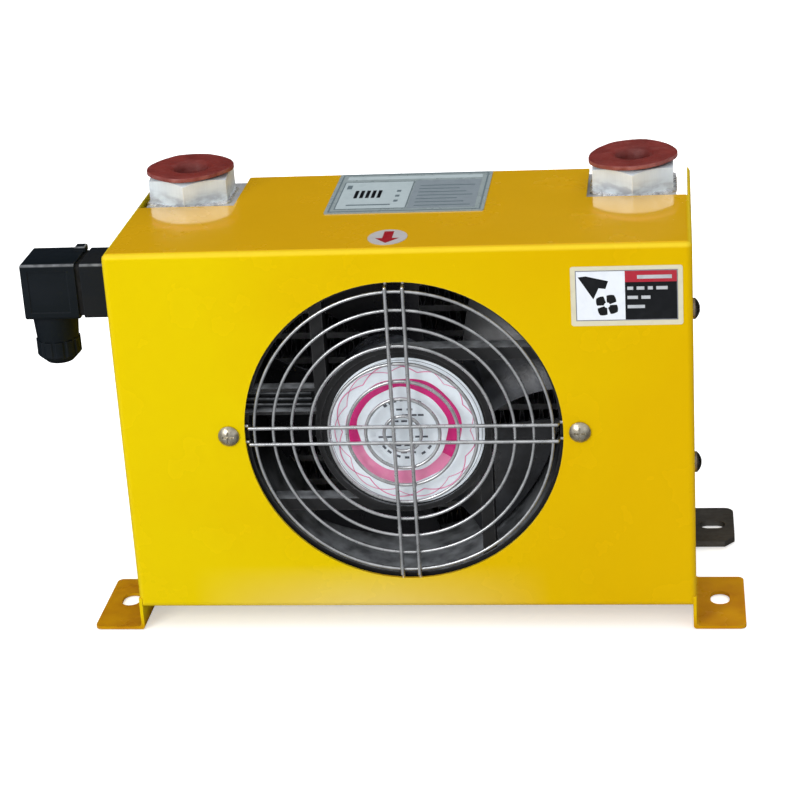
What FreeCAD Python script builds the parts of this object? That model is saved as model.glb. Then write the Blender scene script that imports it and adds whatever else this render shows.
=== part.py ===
"""Air-blast hydraulic oil cooler: a yellow sheet-metal shroud with an axial fan and wire finger guard in
front, an aluminium bar-and-plate oil core with two hexagonal ports behind, and a square plug connector.

Millimetres. +Z is up, -Y is the fan's side, +X is to the right when facing the fan.
The origin lies on the mounting plane, midway between the two rear fixing slots.
"""
import FreeCAD, Part
import math
import os

V = FreeCAD.Vector
X, Y, Z = V(1, 0, 0), V(0, 1, 0), V(0, 0, 1)
SIDES = {"left": -1, "right": 1}

# ---------------------------------------------------------------- driving dimensions
# shroud
WIDTH, HEIGHT, DEPTH = 265.0, 178.0, 119.0
SHEET = 1.5                        # painted steel sheet
FOLD = 3.0                         # outside radius of every fold
GROUND_GAP = 11.5                  # from the mounting plane to the bottom of the shroud
FRONT = -107.5                     # front panel's outer face; the rear fixing slots are at y = 0
PANEL_HOLE_R = 73.5
NOTCH_WIDTH, NOTCH_DEPTH = 47.0, 47.0
BOTTOM_PANEL_DEPTH = 70.0
SCREW_HOLE_R = 2.25
SIDE_SCREW_DEPTH, SIDE_SCREW_RISE, SIDE_SCREW_HOLE_R = 54.0, 39.0, 2.6

# fixing feet and lugs
FOOT_REACH, FOOT_DEPTH = 23.0, 51.0
FOOT_CORNER = 3.0
SLOT_R, SLOT_LENGTH = 4.5, 13.0
FRONT_SLOT_X, FRONT_SLOT_DEPTH = 143.8, 28.7
REAR_SLOT_X = 141.5
LUG_THICK, LUG_OUTER_X, LUG_INNER_X = 3.0, 152.5, 96.0
LUG_Y0, LUG_Y1 = -20.0, 20.0
LUG_CHAMFER_X, LUG_CHAMFER_Y, LUG_ROUND_R = 5.0, 6.0, 5.0
WEB_INSET, WEB_THICK = 10.0, 5.0

# oil core
CORE_X = -1.5                      # the core sits a little off the middle of the shroud
CORE_HALF_WIDTH = 127.25
CORE_FRONT, CORE_DEPTH = 74.0, 44.0
CORE_Z0, CORE_Z1 = 14.5, 187.0
TANK_WIDTH, TANK_WALL, TANK_CORNER = 40.5, 3.0, 3.0
PLATE_THICK = 3.0
TUBE_THICK, TUBE_WALL, TUBE_DEPTH = 3.0, 0.8, 36.0
FIN_ROWS = 13
FIN_WAVES, FIN_SHEET = 36, 0.4
BRACKET_HALF, BRACKET_THICK, BRACKET_REACH = 7.0, 2.0, 16.0

# oil ports and their push-in caps
PORT_OFFSET, PORT_DEPTH = 107.0, 96.0    # from the middle of the core; behind the front panel
PORT_AF, PORT_TOP, PORT_CHAMFER = 38.0, 200.0, 2.2
PORT_SPIGOT_R = 15.0
PORT_MOUTH_R, PORT_MOUTH_DEPTH = 13.6, 6.0
PORT_THREAD_R, PORT_THREAD_LENGTH = 12.06, 16.0
CAP_FLANGE_R, CAP_FLANGE = 21.0, 2.4
CAP_STEM_R, CAP_STEM, CAP_WALL = 13.5, 5.0, 1.5
CAP_WELL_R, CAP_WELL_FLOOR_R = 8.8, 7.4

# axial fan
FAN_AXIS_Z = GROUND_GAP + HEIGHT / 2
FAN_SCREW_X = 81.0
FAN_FRONT, FAN_DEPTH = 3.3, 51.0
FAN_EAR_R, FAN_FLAT, FAN_BORE_R, FAN_FLANGE = 86.0, 75.0, 72.0, 5.0
HUB_R, HUB_THICK, HUB_SETBACK = 41.0, 3.4, 1.0
LABEL_R, LABEL_THICK, LABEL_RECESS, LABEL_RECESS_R = 36.3, 0.3, 1.3, 38.3
LABEL_SHIFT_X, LABEL_SHIFT_Z = 1.0, -0.9
STRUT_OFFSET, STRUT_WIDTH, STRUT_DEPTH = 37.0, 6.0, 9.0
DUCT_Z, DUCT_WIDTH, DUCT_DEPTH, DUCT_WALL = 15.0, 13.0, 7.0, 1.5
BEARING_OUTER_R, BEARING_LENGTH = 7.5, 5.0
BEARING_TUBE_R = 9.5
SHAFT_R, SHAFT_CLEARANCE = 3.0, 0.05
STATOR_R, STATOR_START, STATOR_END = 28.0, 15.0, 31.0
WINDING_R, WINDING_LENGTH = 26.0, 3.5
ROTOR_BORE_R, CUP_BORE_R, CUP_R = 28.4, 34.0, 36.5
CUP_START, CUP_END, CUP_FLOOR = 12.5, 42.0, 2.5
SHAFT_START = 10.5
BLADES, BLADE_TIP_R, BLADE_THICK = 5, 70.4, 1.6
BLADE_START, BLADE_RISE, BLADE_SPAN = 14.0, 32.0, 58.0

# finger guard
RING_R = (68.9, 60.1, 51.5, 42.9, 34.3, 25.7, 17.1, 8.6)
RING_WIRE_R, SPOKE_WIRE_R = 0.8, 0.9
SPOKE_HALF_GAP = 4.0
SPOKE_PROUD, WELD_BITE = 1.1, 0.2
SPOKE_BEND_R = 70.8

# square plug connector on the left side
PLUG_Y, PLUG_Z = FRONT + 48.0, 160.5
PLUG_SIDE, PLUG_CORNER = 27.5, 1.6
BASE_LENGTH, BASE_GASKET, PLUG_GASKET, PLUG_LENGTH = 19.0, 1.0, 2.5, 26.5
PLUG_WALL = 2.2
PIN_WIDTH, PIN_THICK, PIN_CLEARANCE = 6.3, 0.8, 0.1
PIN_REACH, PIN_OFFSET = 9.0, 8.4
CUTOUT_R, COLLAR_R = 10.0, 9.8          # opening in the side panel, and the base's collar in it
BASE_SCREW_R, BASE_SCREW_HOLE_R, BASE_SCREW_OFFSET = 1.5, 1.6, 10.2
BASE_SCREW_HEAD_R, BASE_SCREW_HEAD, BASE_SCREW_WELL_R, BASE_SCREW_WELL = 2.8, 2.0, 3.0, 2.2
GLAND_X, GLAND_LENGTH, GLAND_BORE_R = -170.5, 13.2, 7.6
GLAND_TOP_R, GLAND_FOOT_R = 11.0, 10.0
NECK_R, NECK_LENGTH = 8.6, 6.0
NUT_R, NUT_LENGTH, NUT_CHAMFER, NUT_BORE_R, NUT_SOCKET_R = 10.6, 11.5, 4.0, 5.0, 8.65
NUT_RIBS, NUT_FLUTE_R = 12, 1.3
CABLE_R, LEAD_R = 3.5, 0.9
SEAL_LENGTH = 9.0
PLUG_SCREW_R, PLUG_SCREW_HEAD_R, PLUG_SCREW_HEAD = 1.5, 3.0, 2.4

# stickers and plates
PLATE_LABEL, PLATE_X0, PLATE_X1, PLATE_START, PLATE_END = 0.5, -38.0, 37.0, 54.0, 117.5
STICKER, STICKER_X0, STICKER_X1, STICKER_Z0, STICKER_Z1 = 0.2, 78.8, 128.2, 151.6, 179.4
ARROW_X, ARROW_DEPTH, ARROW_R, ARROW_STRETCH = -3.5, 17.0, 9.0, 1.22

# worked out from the above
SIDE_X = WIDTH / 2
INNER_X = SIDE_X - SHEET
Z0, Z1 = GROUND_GAP, GROUND_GAP + HEIGHT
FIN_REACH = CORE_HALF_WIDTH - TANK_WIDTH   # half the width between the tanks
CORE_Y0, CORE_Y1 = FRONT + CORE_FRONT, FRONT + CORE_FRONT + CORE_DEPTH
CORE_Y = (CORE_Y0 + CORE_Y1) / 2
PORT_Y = FRONT + PORT_DEPTH
ROW_HEIGHT = (CORE_Z1 - CORE_Z0 - 2 * PLATE_THICK - (FIN_ROWS - 1) * TUBE_THICK) / FIN_ROWS
ROW_PITCH = ROW_HEIGHT + TUBE_THICK
BASE_X0 = -SIDE_X - BASE_GASKET            # the base's face on the shroud
BASE_X1 = BASE_X0 - BASE_LENGTH            # the base's outer face
PLUG_X0 = BASE_X1 - PLUG_GASKET
PLUG_X1 = PLUG_X0 - PLUG_LENGTH

SIDE_SCREWS = [(side, FAN_AXIS_Z + rise) for side in SIDES.values()
               for rise in (-SIDE_SCREW_RISE, SIDE_SCREW_RISE)]

PARTS = {}


# ---------------------------------------------------------------- helpers
def box(x0, x1, y0, y1, z0, z1):
    low = V(min(x0, x1), min(y0, y1), min(z0, z1))
    return Part.makeBox(abs(x1 - x0), abs(y1 - y0), abs(z1 - z0), low)


def rod(radius, start, direction, length):
    return Part.makeCylinder(radius, length, start, direction)


def tube(outer, inner, start, direction, length):
    return rod(outer, start, direction, length).cut(rod(inner, start, direction, length))


def fuse(shapes):
    return shapes[0].multiFuse(shapes[1:]).removeSplitter()


def cut(shape, tools):
    return shape.cut(Part.makeCompound(tools))


def fillet(shape, radius, wanted):
    """Rounds the straight edges for which wanted(middle, direction) is true."""
    edges = []
    for edge in shape.Edges:
        if not isinstance(edge.Curve, Part.Line):
            continue
        start, end = edge.Vertexes[0].Point, edge.Vertexes[-1].Point
        if wanted((start + end) * 0.5, (end - start).normalize()):
            edges.append(edge)
    return shape.makeFillet(radius, edges)


def along(direction, axis):
    return abs(direction.dot(axis)) > 0.99


def polygon_prism(points, push):
    return Part.Face(Part.makePolygon(points + points[:1])).extrude(push)


def hex_prism(across_flats, centre, height, corner_axis, other_axis, push):
    """Hexagon with one corner along corner_axis, pushed along push."""
    reach = across_flats / math.sqrt(3)
    points = [centre + corner_axis * (reach * math.cos(math.radians(60 * i)))
              + other_axis * (reach * math.sin(math.radians(60 * i))) for i in range(6)]
    return polygon_prism(points, push * height)


def slot(centre, run, thickness):
    """Vertical slot cutter, its long side along run, standing up from centre."""
    half = SLOT_LENGTH / 2 - SLOT_R
    ends = [rod(SLOT_R, centre + run * (sign * half), Z, thickness) for sign in (-1, 1)]
    cross = V(run.y, run.x, 0)
    middle = polygon_prism([centre + run * (a * half) + cross * (b * SLOT_R)
                            for a, b in ((-1, -1), (1, -1), (1, 1), (-1, 1))], Z * thickness)
    return fuse(ends + [middle])


def revolve_about(axis_point, axis, profile, radial):
    """Solid of revolution from (radius, height) pairs."""
    points = [axis_point + radial * r + axis * h for r, h in profile]
    return Part.Face(Part.makePolygon(points + points[:1])).revolve(axis_point, axis, 360)


def pan_screw(seat, out, shank_r, head_r, head_height, length):
    """Pan-head screw with a cross recess: seat is the middle of the head's underside."""
    dome_r = (head_r ** 2 + head_height ** 2) / (2 * head_height) * 1.25
    dome = Part.makeSphere(dome_r, seat + out * (head_height - dome_r))
    head = rod(head_r, seat, out, head_height).common(dome)
    side = V(out.y, out.z, out.x)
    other = out.cross(side)
    recess_depth = head_height * 0.55
    blades = []
    for across, thin in ((side, other), (other, side)):
        corner = seat + out * (head_height - recess_depth)
        arm, half = head_r * 0.55, head_r * 0.1
        points = [corner + across * (a * arm) + thin * (b * half)
                  for a, b in ((-1, -1), (1, -1), (1, 1), (-1, 1))]
        blades.append(polygon_prism(points, out * head_height))
    return cut(fuse([head, rod(shank_r, seat - out * length, out, length)]), blades)


def hex_nut(seat, out, across_flats, bore_r, height):
    side = V(out.y, out.z, out.x)
    blank = hex_prism(across_flats, seat, height, side, out.cross(side), out)
    return blank.cut(rod(bore_r, seat, out, height))


def wire(points, radius):
    """Round wire along a smooth curve through the points."""
    curve = Part.BSplineCurve()
    curve.interpolate(points)
    path = Part.Wire(curve.toShape())
    start = (points[1] - points[0]).normalize()
    circle = Part.Wire(Part.Circle(points[0], start, radius).toShape())
    return path.makePipeShell([circle], True, False)


# ---------------------------------------------------------------- shroud and feet
def shroud_box():
    outer = box(-SIDE_X, SIDE_X, FRONT, FRONT + DEPTH, Z0, Z1)
    outer = fillet(outer, FOLD, lambda m, d: (
        (along(d, X) and m.y < FRONT + 1) or (along(d, Z) and m.y < FRONT + 1)
        or (along(d, Y) and m.z > Z1 - 1)))
    inner = box(-INNER_X, INNER_X, FRONT + SHEET, FRONT + DEPTH + 1, Z0 + SHEET, Z1 - SHEET)
    inner = fillet(inner, FOLD - SHEET, lambda m, d: (
        (along(d, X) and m.y < FRONT + 2) or (along(d, Z) and m.y < FRONT + 2)
        or (along(d, Y) and m.z > Z1 - 2)))
    return outer.cut(inner)


def foot(side):
    """Flange folded out of a side panel's lower front corner, with its fixing slot."""
    edge, inside = side * SIDE_X, side * INNER_X
    wall = box(inside, edge, FRONT, FRONT + FOOT_DEPTH, 0, Z0 + FOLD + 2)
    floor = box(inside, edge + side * FOOT_REACH, FRONT, FRONT + FOOT_DEPTH, 0, SHEET)
    blank = fuse([wall, floor])
    blank = fillet(blank, SHEET, lambda m, d: (
        along(d, Y) and m.z < 0.1 and abs(m.x - inside) < 0.1))
    blank = fillet(blank, SHEET, lambda m, d: (
        along(d, Y) and abs(m.z - SHEET) < 0.1 and abs(m.x - edge) < 0.1))
    blank = fillet(blank, FOOT_CORNER, lambda m, d: (
        along(d, Z) and abs(m.x) > SIDE_X + FOOT_REACH - 0.1))
    place = V(side * FRONT_SLOT_X, FRONT + FRONT_SLOT_DEPTH, -1)
    return blank.cut(slot(place, Y, SHEET + 2))


def fan_shroud():
    body = shroud_box()
    tools = [rod(PANEL_HOLE_R, V(0, FRONT - 1, FAN_AXIS_Z), Y, SHEET + 2)]
    for side in SIDES.values():
        notch_x = side * (INNER_X - NOTCH_WIDTH)
        tools.append(box(notch_x, side * (INNER_X - 0.01), FRONT + DEPTH - NOTCH_DEPTH,
                         FRONT + DEPTH + 1, Z1 - SHEET - FOLD, Z1 + 1))
        tools.append(rod(SCREW_HOLE_R, V(side * FAN_SCREW_X, FRONT - 1, FAN_AXIS_Z), Y, SHEET + 2))
    for side, z in SIDE_SCREWS:
        start = V(side * (INNER_X - 1), FRONT + SIDE_SCREW_DEPTH, z)
        tools.append(rod(SIDE_SCREW_HOLE_R, start, X * side, SHEET + 2))
    tools.append(box(-INNER_X, INNER_X, FRONT + BOTTOM_PANEL_DEPTH, FRONT + DEPTH + 1, Z0 - 1, Z0 + SHEET))
    tools.append(rod(CUTOUT_R, V(-SIDE_X - 1, PLUG_Y, PLUG_Z), X, SHEET + 2))
    tools += [rod(BASE_SCREW_HOLE_R, V(-SIDE_X - 1, y, z), X, SHEET + 2) for y, z in base_screw_places()]
    body = cut(body, tools)
    return fuse([body, foot(-1), foot(1)])


def rear_lug(side):
    """Aluminium fixing lug welded under a core tank: slotted plate, and a web up to the tank."""
    outer = side * LUG_OUTER_X
    outline = [V(side * LUG_INNER_X, LUG_Y0, 0), V(outer - side * LUG_CHAMFER_X, LUG_Y0, 0),
               V(outer, LUG_Y0 + LUG_CHAMFER_Y, 0), V(outer, LUG_Y1, 0), V(side * LUG_INNER_X, LUG_Y1, 0)]
    plate = polygon_prism(outline, Z * LUG_THICK)
    plate = fillet(plate, LUG_ROUND_R, lambda m, d: (
        along(d, Z) and abs(m.x - outer) < 0.1 and abs(m.y - LUG_Y1) < 0.1))
    plate = plate.cut(slot(V(side * REAR_SLOT_X, 0, -1), X, LUG_THICK + 2))
    web_x = side * (LUG_INNER_X + WEB_INSET)
    web = box(web_x, web_x + side * WEB_THICK, LUG_Y0, CORE_Y1, LUG_THICK - 1, CORE_Z0)
    return fuse([plate, web])


# ---------------------------------------------------------------- oil core
def row_floor(row):
    return CORE_Z0 + PLATE_THICK + row * ROW_PITCH


def tube_floors():
    return [row_floor(row) + ROW_HEIGHT for row in range(FIN_ROWS - 1)]


def tank_faces(side):
    """The x of a tank's outer and inner face."""
    return CORE_X + side * CORE_HALF_WIDTH, CORE_X + side * FIN_REACH


def port_x(side):
    return CORE_X + side * PORT_OFFSET


def core_tank(side):
    outer, inner = tank_faces(side)
    z0, z1 = CORE_Z0 + PLATE_THICK, CORE_Z1 - PLATE_THICK
    shell = box(inner, outer, CORE_Y0, CORE_Y1, z0, z1)
    shell = fillet(shell, TANK_CORNER, lambda m, d: along(d, Z) and abs(m.x - outer) < 0.1)
    hollow = box(inner + side * TANK_WALL, outer - side * TANK_WALL,
                 CORE_Y0 + TANK_WALL, CORE_Y1 - TANK_WALL, z0 - 1, z1 + 1)
    slots = [tube_blank(floor) for floor in tube_floors()]
    return cut(shell, [hollow] + slots)


def tank_end_caps():
    """Flat plates that close both tanks; the upper ones carry the ports."""
    caps = []
    for side in SIDES.values():
        outer, inner = tank_faces(side)
        for z in (CORE_Z0, CORE_Z1 - PLATE_THICK):
            cap = box(inner, outer, CORE_Y0, CORE_Y1, z, z + PLATE_THICK)
            cap = fillet(cap, TANK_CORNER, lambda m, d: along(d, Z) and abs(m.x - outer) < 0.1)
            if z > CORE_Z0:
                cap = cap.cut(rod(PORT_SPIGOT_R, V(port_x(side), PORT_Y, z), Z, PLATE_THICK))
            caps.append(cap)
    return Part.makeCompound(caps)


def tube_blank(floor):
    reach = FIN_REACH + TANK_WALL
    half = TUBE_DEPTH / 2
    return box(CORE_X - reach, CORE_X + reach, CORE_Y - half, CORE_Y + half, floor, floor + TUBE_THICK)


def oil_tubes():
    """Flat tubes that carry the oil from one tank to the other."""
    reach = FIN_REACH + TANK_WALL + 1
    half = TUBE_DEPTH / 2 - TUBE_WALL
    tubes = []
    for floor in tube_floors():
        hollow = box(CORE_X - reach, CORE_X + reach, CORE_Y - half, CORE_Y + half,
                     floor + TUBE_WALL, floor + TUBE_THICK - TUBE_WALL)
        tubes.append(tube_blank(floor).cut(hollow))
    return Part.makeCompound(tubes)


def core_plates():
    """Top and bottom plates of the core, between the tanks."""
    return Part.makeCompound([
        box(CORE_X - FIN_REACH, CORE_X + FIN_REACH, CORE_Y0, CORE_Y1, z, z + PLATE_THICK)
        for z in (CORE_Z0, CORE_Z1 - PLATE_THICK)])


def fin_strip(floor):
    """One corrugated strip that fills the air gap of a row."""
    pitch = 2 * FIN_REACH / FIN_WAVES
    low, high = floor, floor + ROW_HEIGHT
    flat, slope, half_sheet = pitch * 0.2, pitch * 0.3, FIN_SHEET / 2
    under, over = [(-FIN_REACH, low)], [(-FIN_REACH, low + FIN_SHEET)]
    for wave in range(FIN_WAVES):
        rise = -FIN_REACH + wave * pitch + flat / 2
        crest, fall = rise + slope, rise + slope + flat
        under += [(rise + half_sheet, low), (crest + half_sheet, high - FIN_SHEET),
                  (fall - half_sheet, high - FIN_SHEET), (fall + slope - half_sheet, low)]
        over += [(rise - half_sheet, low + FIN_SHEET), (crest - half_sheet, high),
                 (fall + half_sheet, high), (fall + slope + half_sheet, low + FIN_SHEET)]
    under.append((FIN_REACH, low))
    over.append((FIN_REACH, low + FIN_SHEET))
    front = CORE_Y - TUBE_DEPTH / 2
    outline = [V(CORE_X + x, front, z) for x, z in under + over[::-1]]
    return polygon_prism(outline, Y * TUBE_DEPTH)


def cooling_fins():
    return Part.makeCompound([fin_strip(row_floor(row)) for row in range(FIN_ROWS)])


def core_bracket(side, z):
    """Angle that ties the core to a side panel; a side screw pulls it against the sheet."""
    face, z0, z1 = side * INNER_X, z - BRACKET_HALF, z + BRACKET_HALF
    start = FRONT + SIDE_SCREW_DEPTH - BRACKET_HALF - 2
    flange = box(face - side * BRACKET_THICK, face, start, CORE_Y0, z0, z1)
    weld_flange = box(face - side * BRACKET_REACH, face, CORE_Y0 - BRACKET_THICK, CORE_Y0, z0, z1)
    hole = rod(SIDE_SCREW_HOLE_R, V(face - side * 3, FRONT + SIDE_SCREW_DEPTH, z), X * side, 5)
    return fuse([flange, weld_flange]).cut(hole)


# ---------------------------------------------------------------- ports and caps
def port_boss(side):
    centre = V(port_x(side), PORT_Y, CORE_Z1)
    height = PORT_TOP - CORE_Z1
    hexagon = hex_prism(PORT_AF, centre, height, Y, X, Z)
    corner_r = PORT_AF / math.sqrt(3)
    crown = revolve_about(V(centre.x, centre.y, 0), Z, [
        (0, CORE_Z1), (corner_r + 1, CORE_Z1), (corner_r + 1, PORT_TOP - PORT_CHAMFER),
        (PORT_AF / 2 - 0.4, PORT_TOP), (0, PORT_TOP)], X)
    spigot_z = PORT_TOP - PORT_MOUTH_DEPTH - PORT_THREAD_LENGTH
    spigot = rod(PORT_SPIGOT_R, V(centre.x, centre.y, spigot_z), Z, CORE_Z1 - spigot_z)
    mouth = rod(PORT_MOUTH_R, V(centre.x, centre.y, PORT_TOP - PORT_MOUTH_DEPTH), Z, PORT_MOUTH_DEPTH + 1)
    thread = rod(PORT_THREAD_R, V(centre.x, centre.y, spigot_z - 1), Z, PORT_THREAD_LENGTH + 2)
    return cut(fuse([hexagon.common(crown), spigot]), [mouth, thread])


def port_cap(side):
    """Soft plastic plug: a dished flange on a short hollow stem that is closed below."""
    profile = [(0, -CAP_STEM), (CAP_STEM_R - 1, -CAP_STEM), (CAP_STEM_R, -CAP_STEM + 1), (CAP_STEM_R, 0),
               (CAP_FLANGE_R - 0.6, 0), (CAP_FLANGE_R, 0.8), (CAP_FLANGE_R, CAP_FLANGE - 0.7),
               (CAP_FLANGE_R - 0.8, CAP_FLANGE), (CAP_WELL_R + 1.2, CAP_FLANGE - 0.5),
               (CAP_WELL_R, CAP_FLANGE - 1.3), (CAP_WELL_FLOOR_R, CAP_WALL - CAP_STEM),
               (0, CAP_WALL - CAP_STEM)]
    return revolve_about(V(port_x(side), PORT_Y, PORT_TOP), Z, profile, X)


# ---------------------------------------------------------------- fan
def fan_point(depth, radius=0.0, angle=0.0):
    """Point at a depth behind the front panel, at a radius and an angle from +X about the fan's axis."""
    turn = math.radians(angle)
    return V(radius * math.cos(turn), FRONT + depth, FAN_AXIS_Z + radius * math.sin(turn))


def fan_plate(radius, depth, thickness):
    disc = rod(radius, fan_point(depth), Y, thickness)
    return disc.common(box(-100, 100, FRONT, FRONT + DEPTH, FAN_AXIS_Z - FAN_FLAT, FAN_AXIS_Z + FAN_FLAT))


def fan_frame():
    """Black die-cast frame: two eared flanges, a barrel, four tangential struts and the motor's seat."""
    end = FAN_FRONT + FAN_DEPTH
    solids = [fan_plate(FAN_EAR_R, FAN_FRONT, FAN_FLANGE), fan_plate(FAN_EAR_R, end - FAN_FLANGE, FAN_FLANGE),
              rod(FAN_FLAT, fan_point(FAN_FRONT), Y, FAN_DEPTH)]
    shell = fuse(solids).cut(rod(FAN_BORE_R, fan_point(FAN_FRONT - 1), Y, FAN_DEPTH + 2))
    hub_start = FAN_FRONT + HUB_SETBACK
    extras = [rod(HUB_R, fan_point(hub_start), Y, HUB_THICK + LABEL_RECESS),
              rod(BEARING_TUBE_R, fan_point(hub_start), Y, STATOR_END + 4 - hub_start)]
    for quarter in range(4):
        strut = box(0, FAN_BORE_R + 1.5, FRONT + hub_start, FRONT + hub_start + STRUT_DEPTH,
                    FAN_AXIS_Z + STRUT_OFFSET - STRUT_WIDTH / 2, FAN_AXIS_Z + STRUT_OFFSET + STRUT_WIDTH / 2)
        strut = strut.common(rod(FAN_BORE_R + 1, fan_point(0), Y, DEPTH))
        strut.rotate(fan_point(0), Y, 90 * quarter)
        extras.append(strut.cut(rod(HUB_R - 3, fan_point(hub_start + HUB_THICK), Y, STRUT_DEPTH)))
    duct_z = FAN_AXIS_Z + DUCT_Z
    extras.append(box(-FAN_BORE_R - 1, -HUB_R + 4, FRONT + hub_start, FRONT + hub_start + DUCT_DEPTH,
                      duct_z - DUCT_WIDTH / 2, duct_z + DUCT_WIDTH / 2))
    groove_half = DUCT_WIDTH / 2 - DUCT_WALL
    duct_floor = FRONT + hub_start + DUCT_DEPTH - DUCT_WALL
    tools = [box(-FAN_EAR_R - 1, -HUB_R + 1, FRONT + FAN_FRONT - 1, duct_floor,
                 duct_z - groove_half, duct_z + groove_half),
             rod(LABEL_RECESS_R, fan_point(hub_start - 1), Y, 1 + LABEL_RECESS),
             rod(BEARING_OUTER_R, fan_point(hub_start + HUB_THICK + LABEL_RECESS), Y, DEPTH)]
    tools += [rod(SCREW_HOLE_R, fan_point(FAN_FRONT - 1, FAN_SCREW_X, angle), Y, FAN_DEPTH + 2)
              for angle in (0, 180)]
    return cut(fuse([shell] + extras), tools)


def stator():
    """Laminated stator with eight teeth, pressed on the bearing tube."""
    teeth, slot_width = 8, 5.0
    core = tube(STATOR_R, BEARING_TUBE_R, fan_point(STATOR_START), Y, STATOR_END - STATOR_START)
    gaps = []
    for tooth in range(teeth):
        gap = box(15.5, STATOR_R + 1, FRONT + STATOR_START - 1, FRONT + STATOR_END + 1,
                  FAN_AXIS_Z - slot_width / 2, FAN_AXIS_Z + slot_width / 2)
        gap.rotate(fan_point(0), Y, 360 / teeth * tooth)
        gaps.append(gap)
    return cut(core, gaps)


def stator_windings():
    """Copper end turns in front of and behind the laminations."""
    return Part.makeCompound([
        tube(WINDING_R, BEARING_TUBE_R + 2, fan_point(start), Y, WINDING_LENGTH)
        for start in (STATOR_START - WINDING_LENGTH, STATOR_END)])


def motor_bearings():
    first = FAN_FRONT + HUB_SETBACK + HUB_THICK + LABEL_RECESS + 3
    starts = (first, STATOR_END + 4 - BEARING_LENGTH)
    return Part.makeCompound([
        tube(BEARING_OUTER_R, SHAFT_R + SHAFT_CLEARANCE, fan_point(start), Y, BEARING_LENGTH)
        for start in starts])


def rotor_cup():
    """Steel cup with a boss for the shaft."""
    cup = rod(CUP_R, fan_point(CUP_START), Y, CUP_END - CUP_START)
    cup = fillet_rim(cup, CUP_END)
    hollow = rod(CUP_BORE_R, fan_point(CUP_START - 1), Y, CUP_END - CUP_FLOOR - CUP_START + 1)
    boss = rod(6.0, fan_point(STATOR_END + 5), Y, CUP_END - STATOR_END - 5)
    return fuse([cup.cut(hollow), boss]).cut(rod(SHAFT_R, fan_point(CUP_START), Y, DEPTH))


def fillet_rim(solid, depth):
    rim = [edge for edge in solid.Edges
           if isinstance(edge.Curve, Part.Circle) and abs(edge.CenterOfMass.y - FRONT - depth) < 0.1]
    return solid.makeFillet(2.0, rim)


def rotor_ring():
    """Squirrel-cage rotor ring inside the cup."""
    return tube(CUP_BORE_R, ROTOR_BORE_R, fan_point(STATOR_START), Y, STATOR_END - STATOR_START)


def motor_shaft():
    return rod(SHAFT_R, fan_point(SHAFT_START), Y, CUP_END - SHAFT_START)


def blade_planform(turn):
    """Outline of one blade seen along the axis, as a prism that trims the helical sheet."""
    def at(radius, angle):
        return fan_point(0, radius, turn + angle)
    root, middle, tip = CUP_R - 0.5, (CUP_R + BLADE_TIP_R) / 2, BLADE_TIP_R
    leading = Part.Arc(at(root, 0), at(middle, 9), at(tip, 10)).toShape()
    outer = Part.Arc(at(tip, 10), at(tip, 36), at(tip, 62)).toShape()
    trailing = Part.Arc(at(tip, 62), at(middle, 58), at(root, 46)).toShape()
    inner = Part.Arc(at(root, 46), at(root, 23), at(root, 0)).toShape()
    return Part.Face(Part.Wire([leading, outer, trailing, inner])).extrude(Y * DEPTH)


def helical_sheet(turn):
    """Blade-thick sheet that rises along the axis as it turns, with a little camber."""
    stations, ribs = 7, []
    for i in range(stations):
        share = i / (stations - 1)
        angle = turn - 3 + (BLADE_SPAN + 10) * share
        depth = BLADE_START + BLADE_RISE * (share + 0.12 * math.sin(math.pi * share))
        corners = [fan_point(depth + d, r, angle) for r, d in (
            (CUP_R - 2, 0), (BLADE_TIP_R + 3, 0), (BLADE_TIP_R + 3, BLADE_THICK), (CUP_R - 2, BLADE_THICK))]
        ribs.append(Part.makePolygon(corners + corners[:1]))
    return Part.makeLoft(ribs, True, False)


def impeller_blades():
    """Five swept blades on a thin sleeve that grips the rotor cup."""
    sleeve = tube(CUP_R + 1.0, CUP_R, fan_point(BLADE_START - 1), Y, CUP_END - BLADE_START)
    solids = [sleeve]
    bore = rod(CUP_R, fan_point(0), Y, DEPTH)
    for blade in range(BLADES):
        turn = 360 / BLADES * blade
        sheet = helical_sheet(turn).common(blade_planform(turn))
        solids.append(sheet.cut(bore))
    return fuse(solids)


# ---------------------------------------------------------------- finger guard
def guard_spoke_loop(turn):
    """One wire bent into a long loop: two parallel runs in front, both ends dipping behind the panel."""
    front = -SPOKE_PROUD
    back = (SHEET + FAN_FRONT) / 2
    far = FAN_SCREW_X if turn == 0 else FAN_SCREW_X - 3
    shapes = []
    for sign in (-1, 1):
        z = FAN_AXIS_Z + sign * SPOKE_HALF_GAP
        path = [(-far, back), (-SPOKE_BEND_R - 0.6, back), (-SPOKE_BEND_R, front),
                (SPOKE_BEND_R, front), (SPOKE_BEND_R + 0.6, back), (far, back)]
        points = [V(x, FRONT + y, z) for x, y in path]
        for start, end in zip(points, points[1:]):
            shapes.append(rod(SPOKE_WIRE_R, start, end - start, (end - start).Length))
        shapes += [Part.makeSphere(SPOKE_WIRE_R, p) for p in points[1:-1]]
    for side in (-1, 1):
        centre = V(side * far, FRONT + back, FAN_AXIS_Z)
        loop = Part.makeTorus(SPOKE_HALF_GAP, SPOKE_WIRE_R, centre, Y)
        half = box(side * far, side * (far + 10), FRONT, FRONT + 10, FAN_AXIS_Z - 10, FAN_AXIS_Z + 10)
        shapes.append(loop.common(half))
    loop = fuse(shapes)
    loop.rotate(V(0, FRONT, FAN_AXIS_Z), Y, turn)
    return loop


def finger_guard():
    """Eight wire rings welded behind two crossing spoke loops."""
    ring_y = FRONT - SPOKE_PROUD + SPOKE_WIRE_R + RING_WIRE_R - WELD_BITE
    rings = [Part.makeTorus(r, RING_WIRE_R, V(0, ring_y, FAN_AXIS_Z), Y) for r in RING_R]
    return fuse([guard_spoke_loop(0), guard_spoke_loop(90)] + rings)


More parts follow.
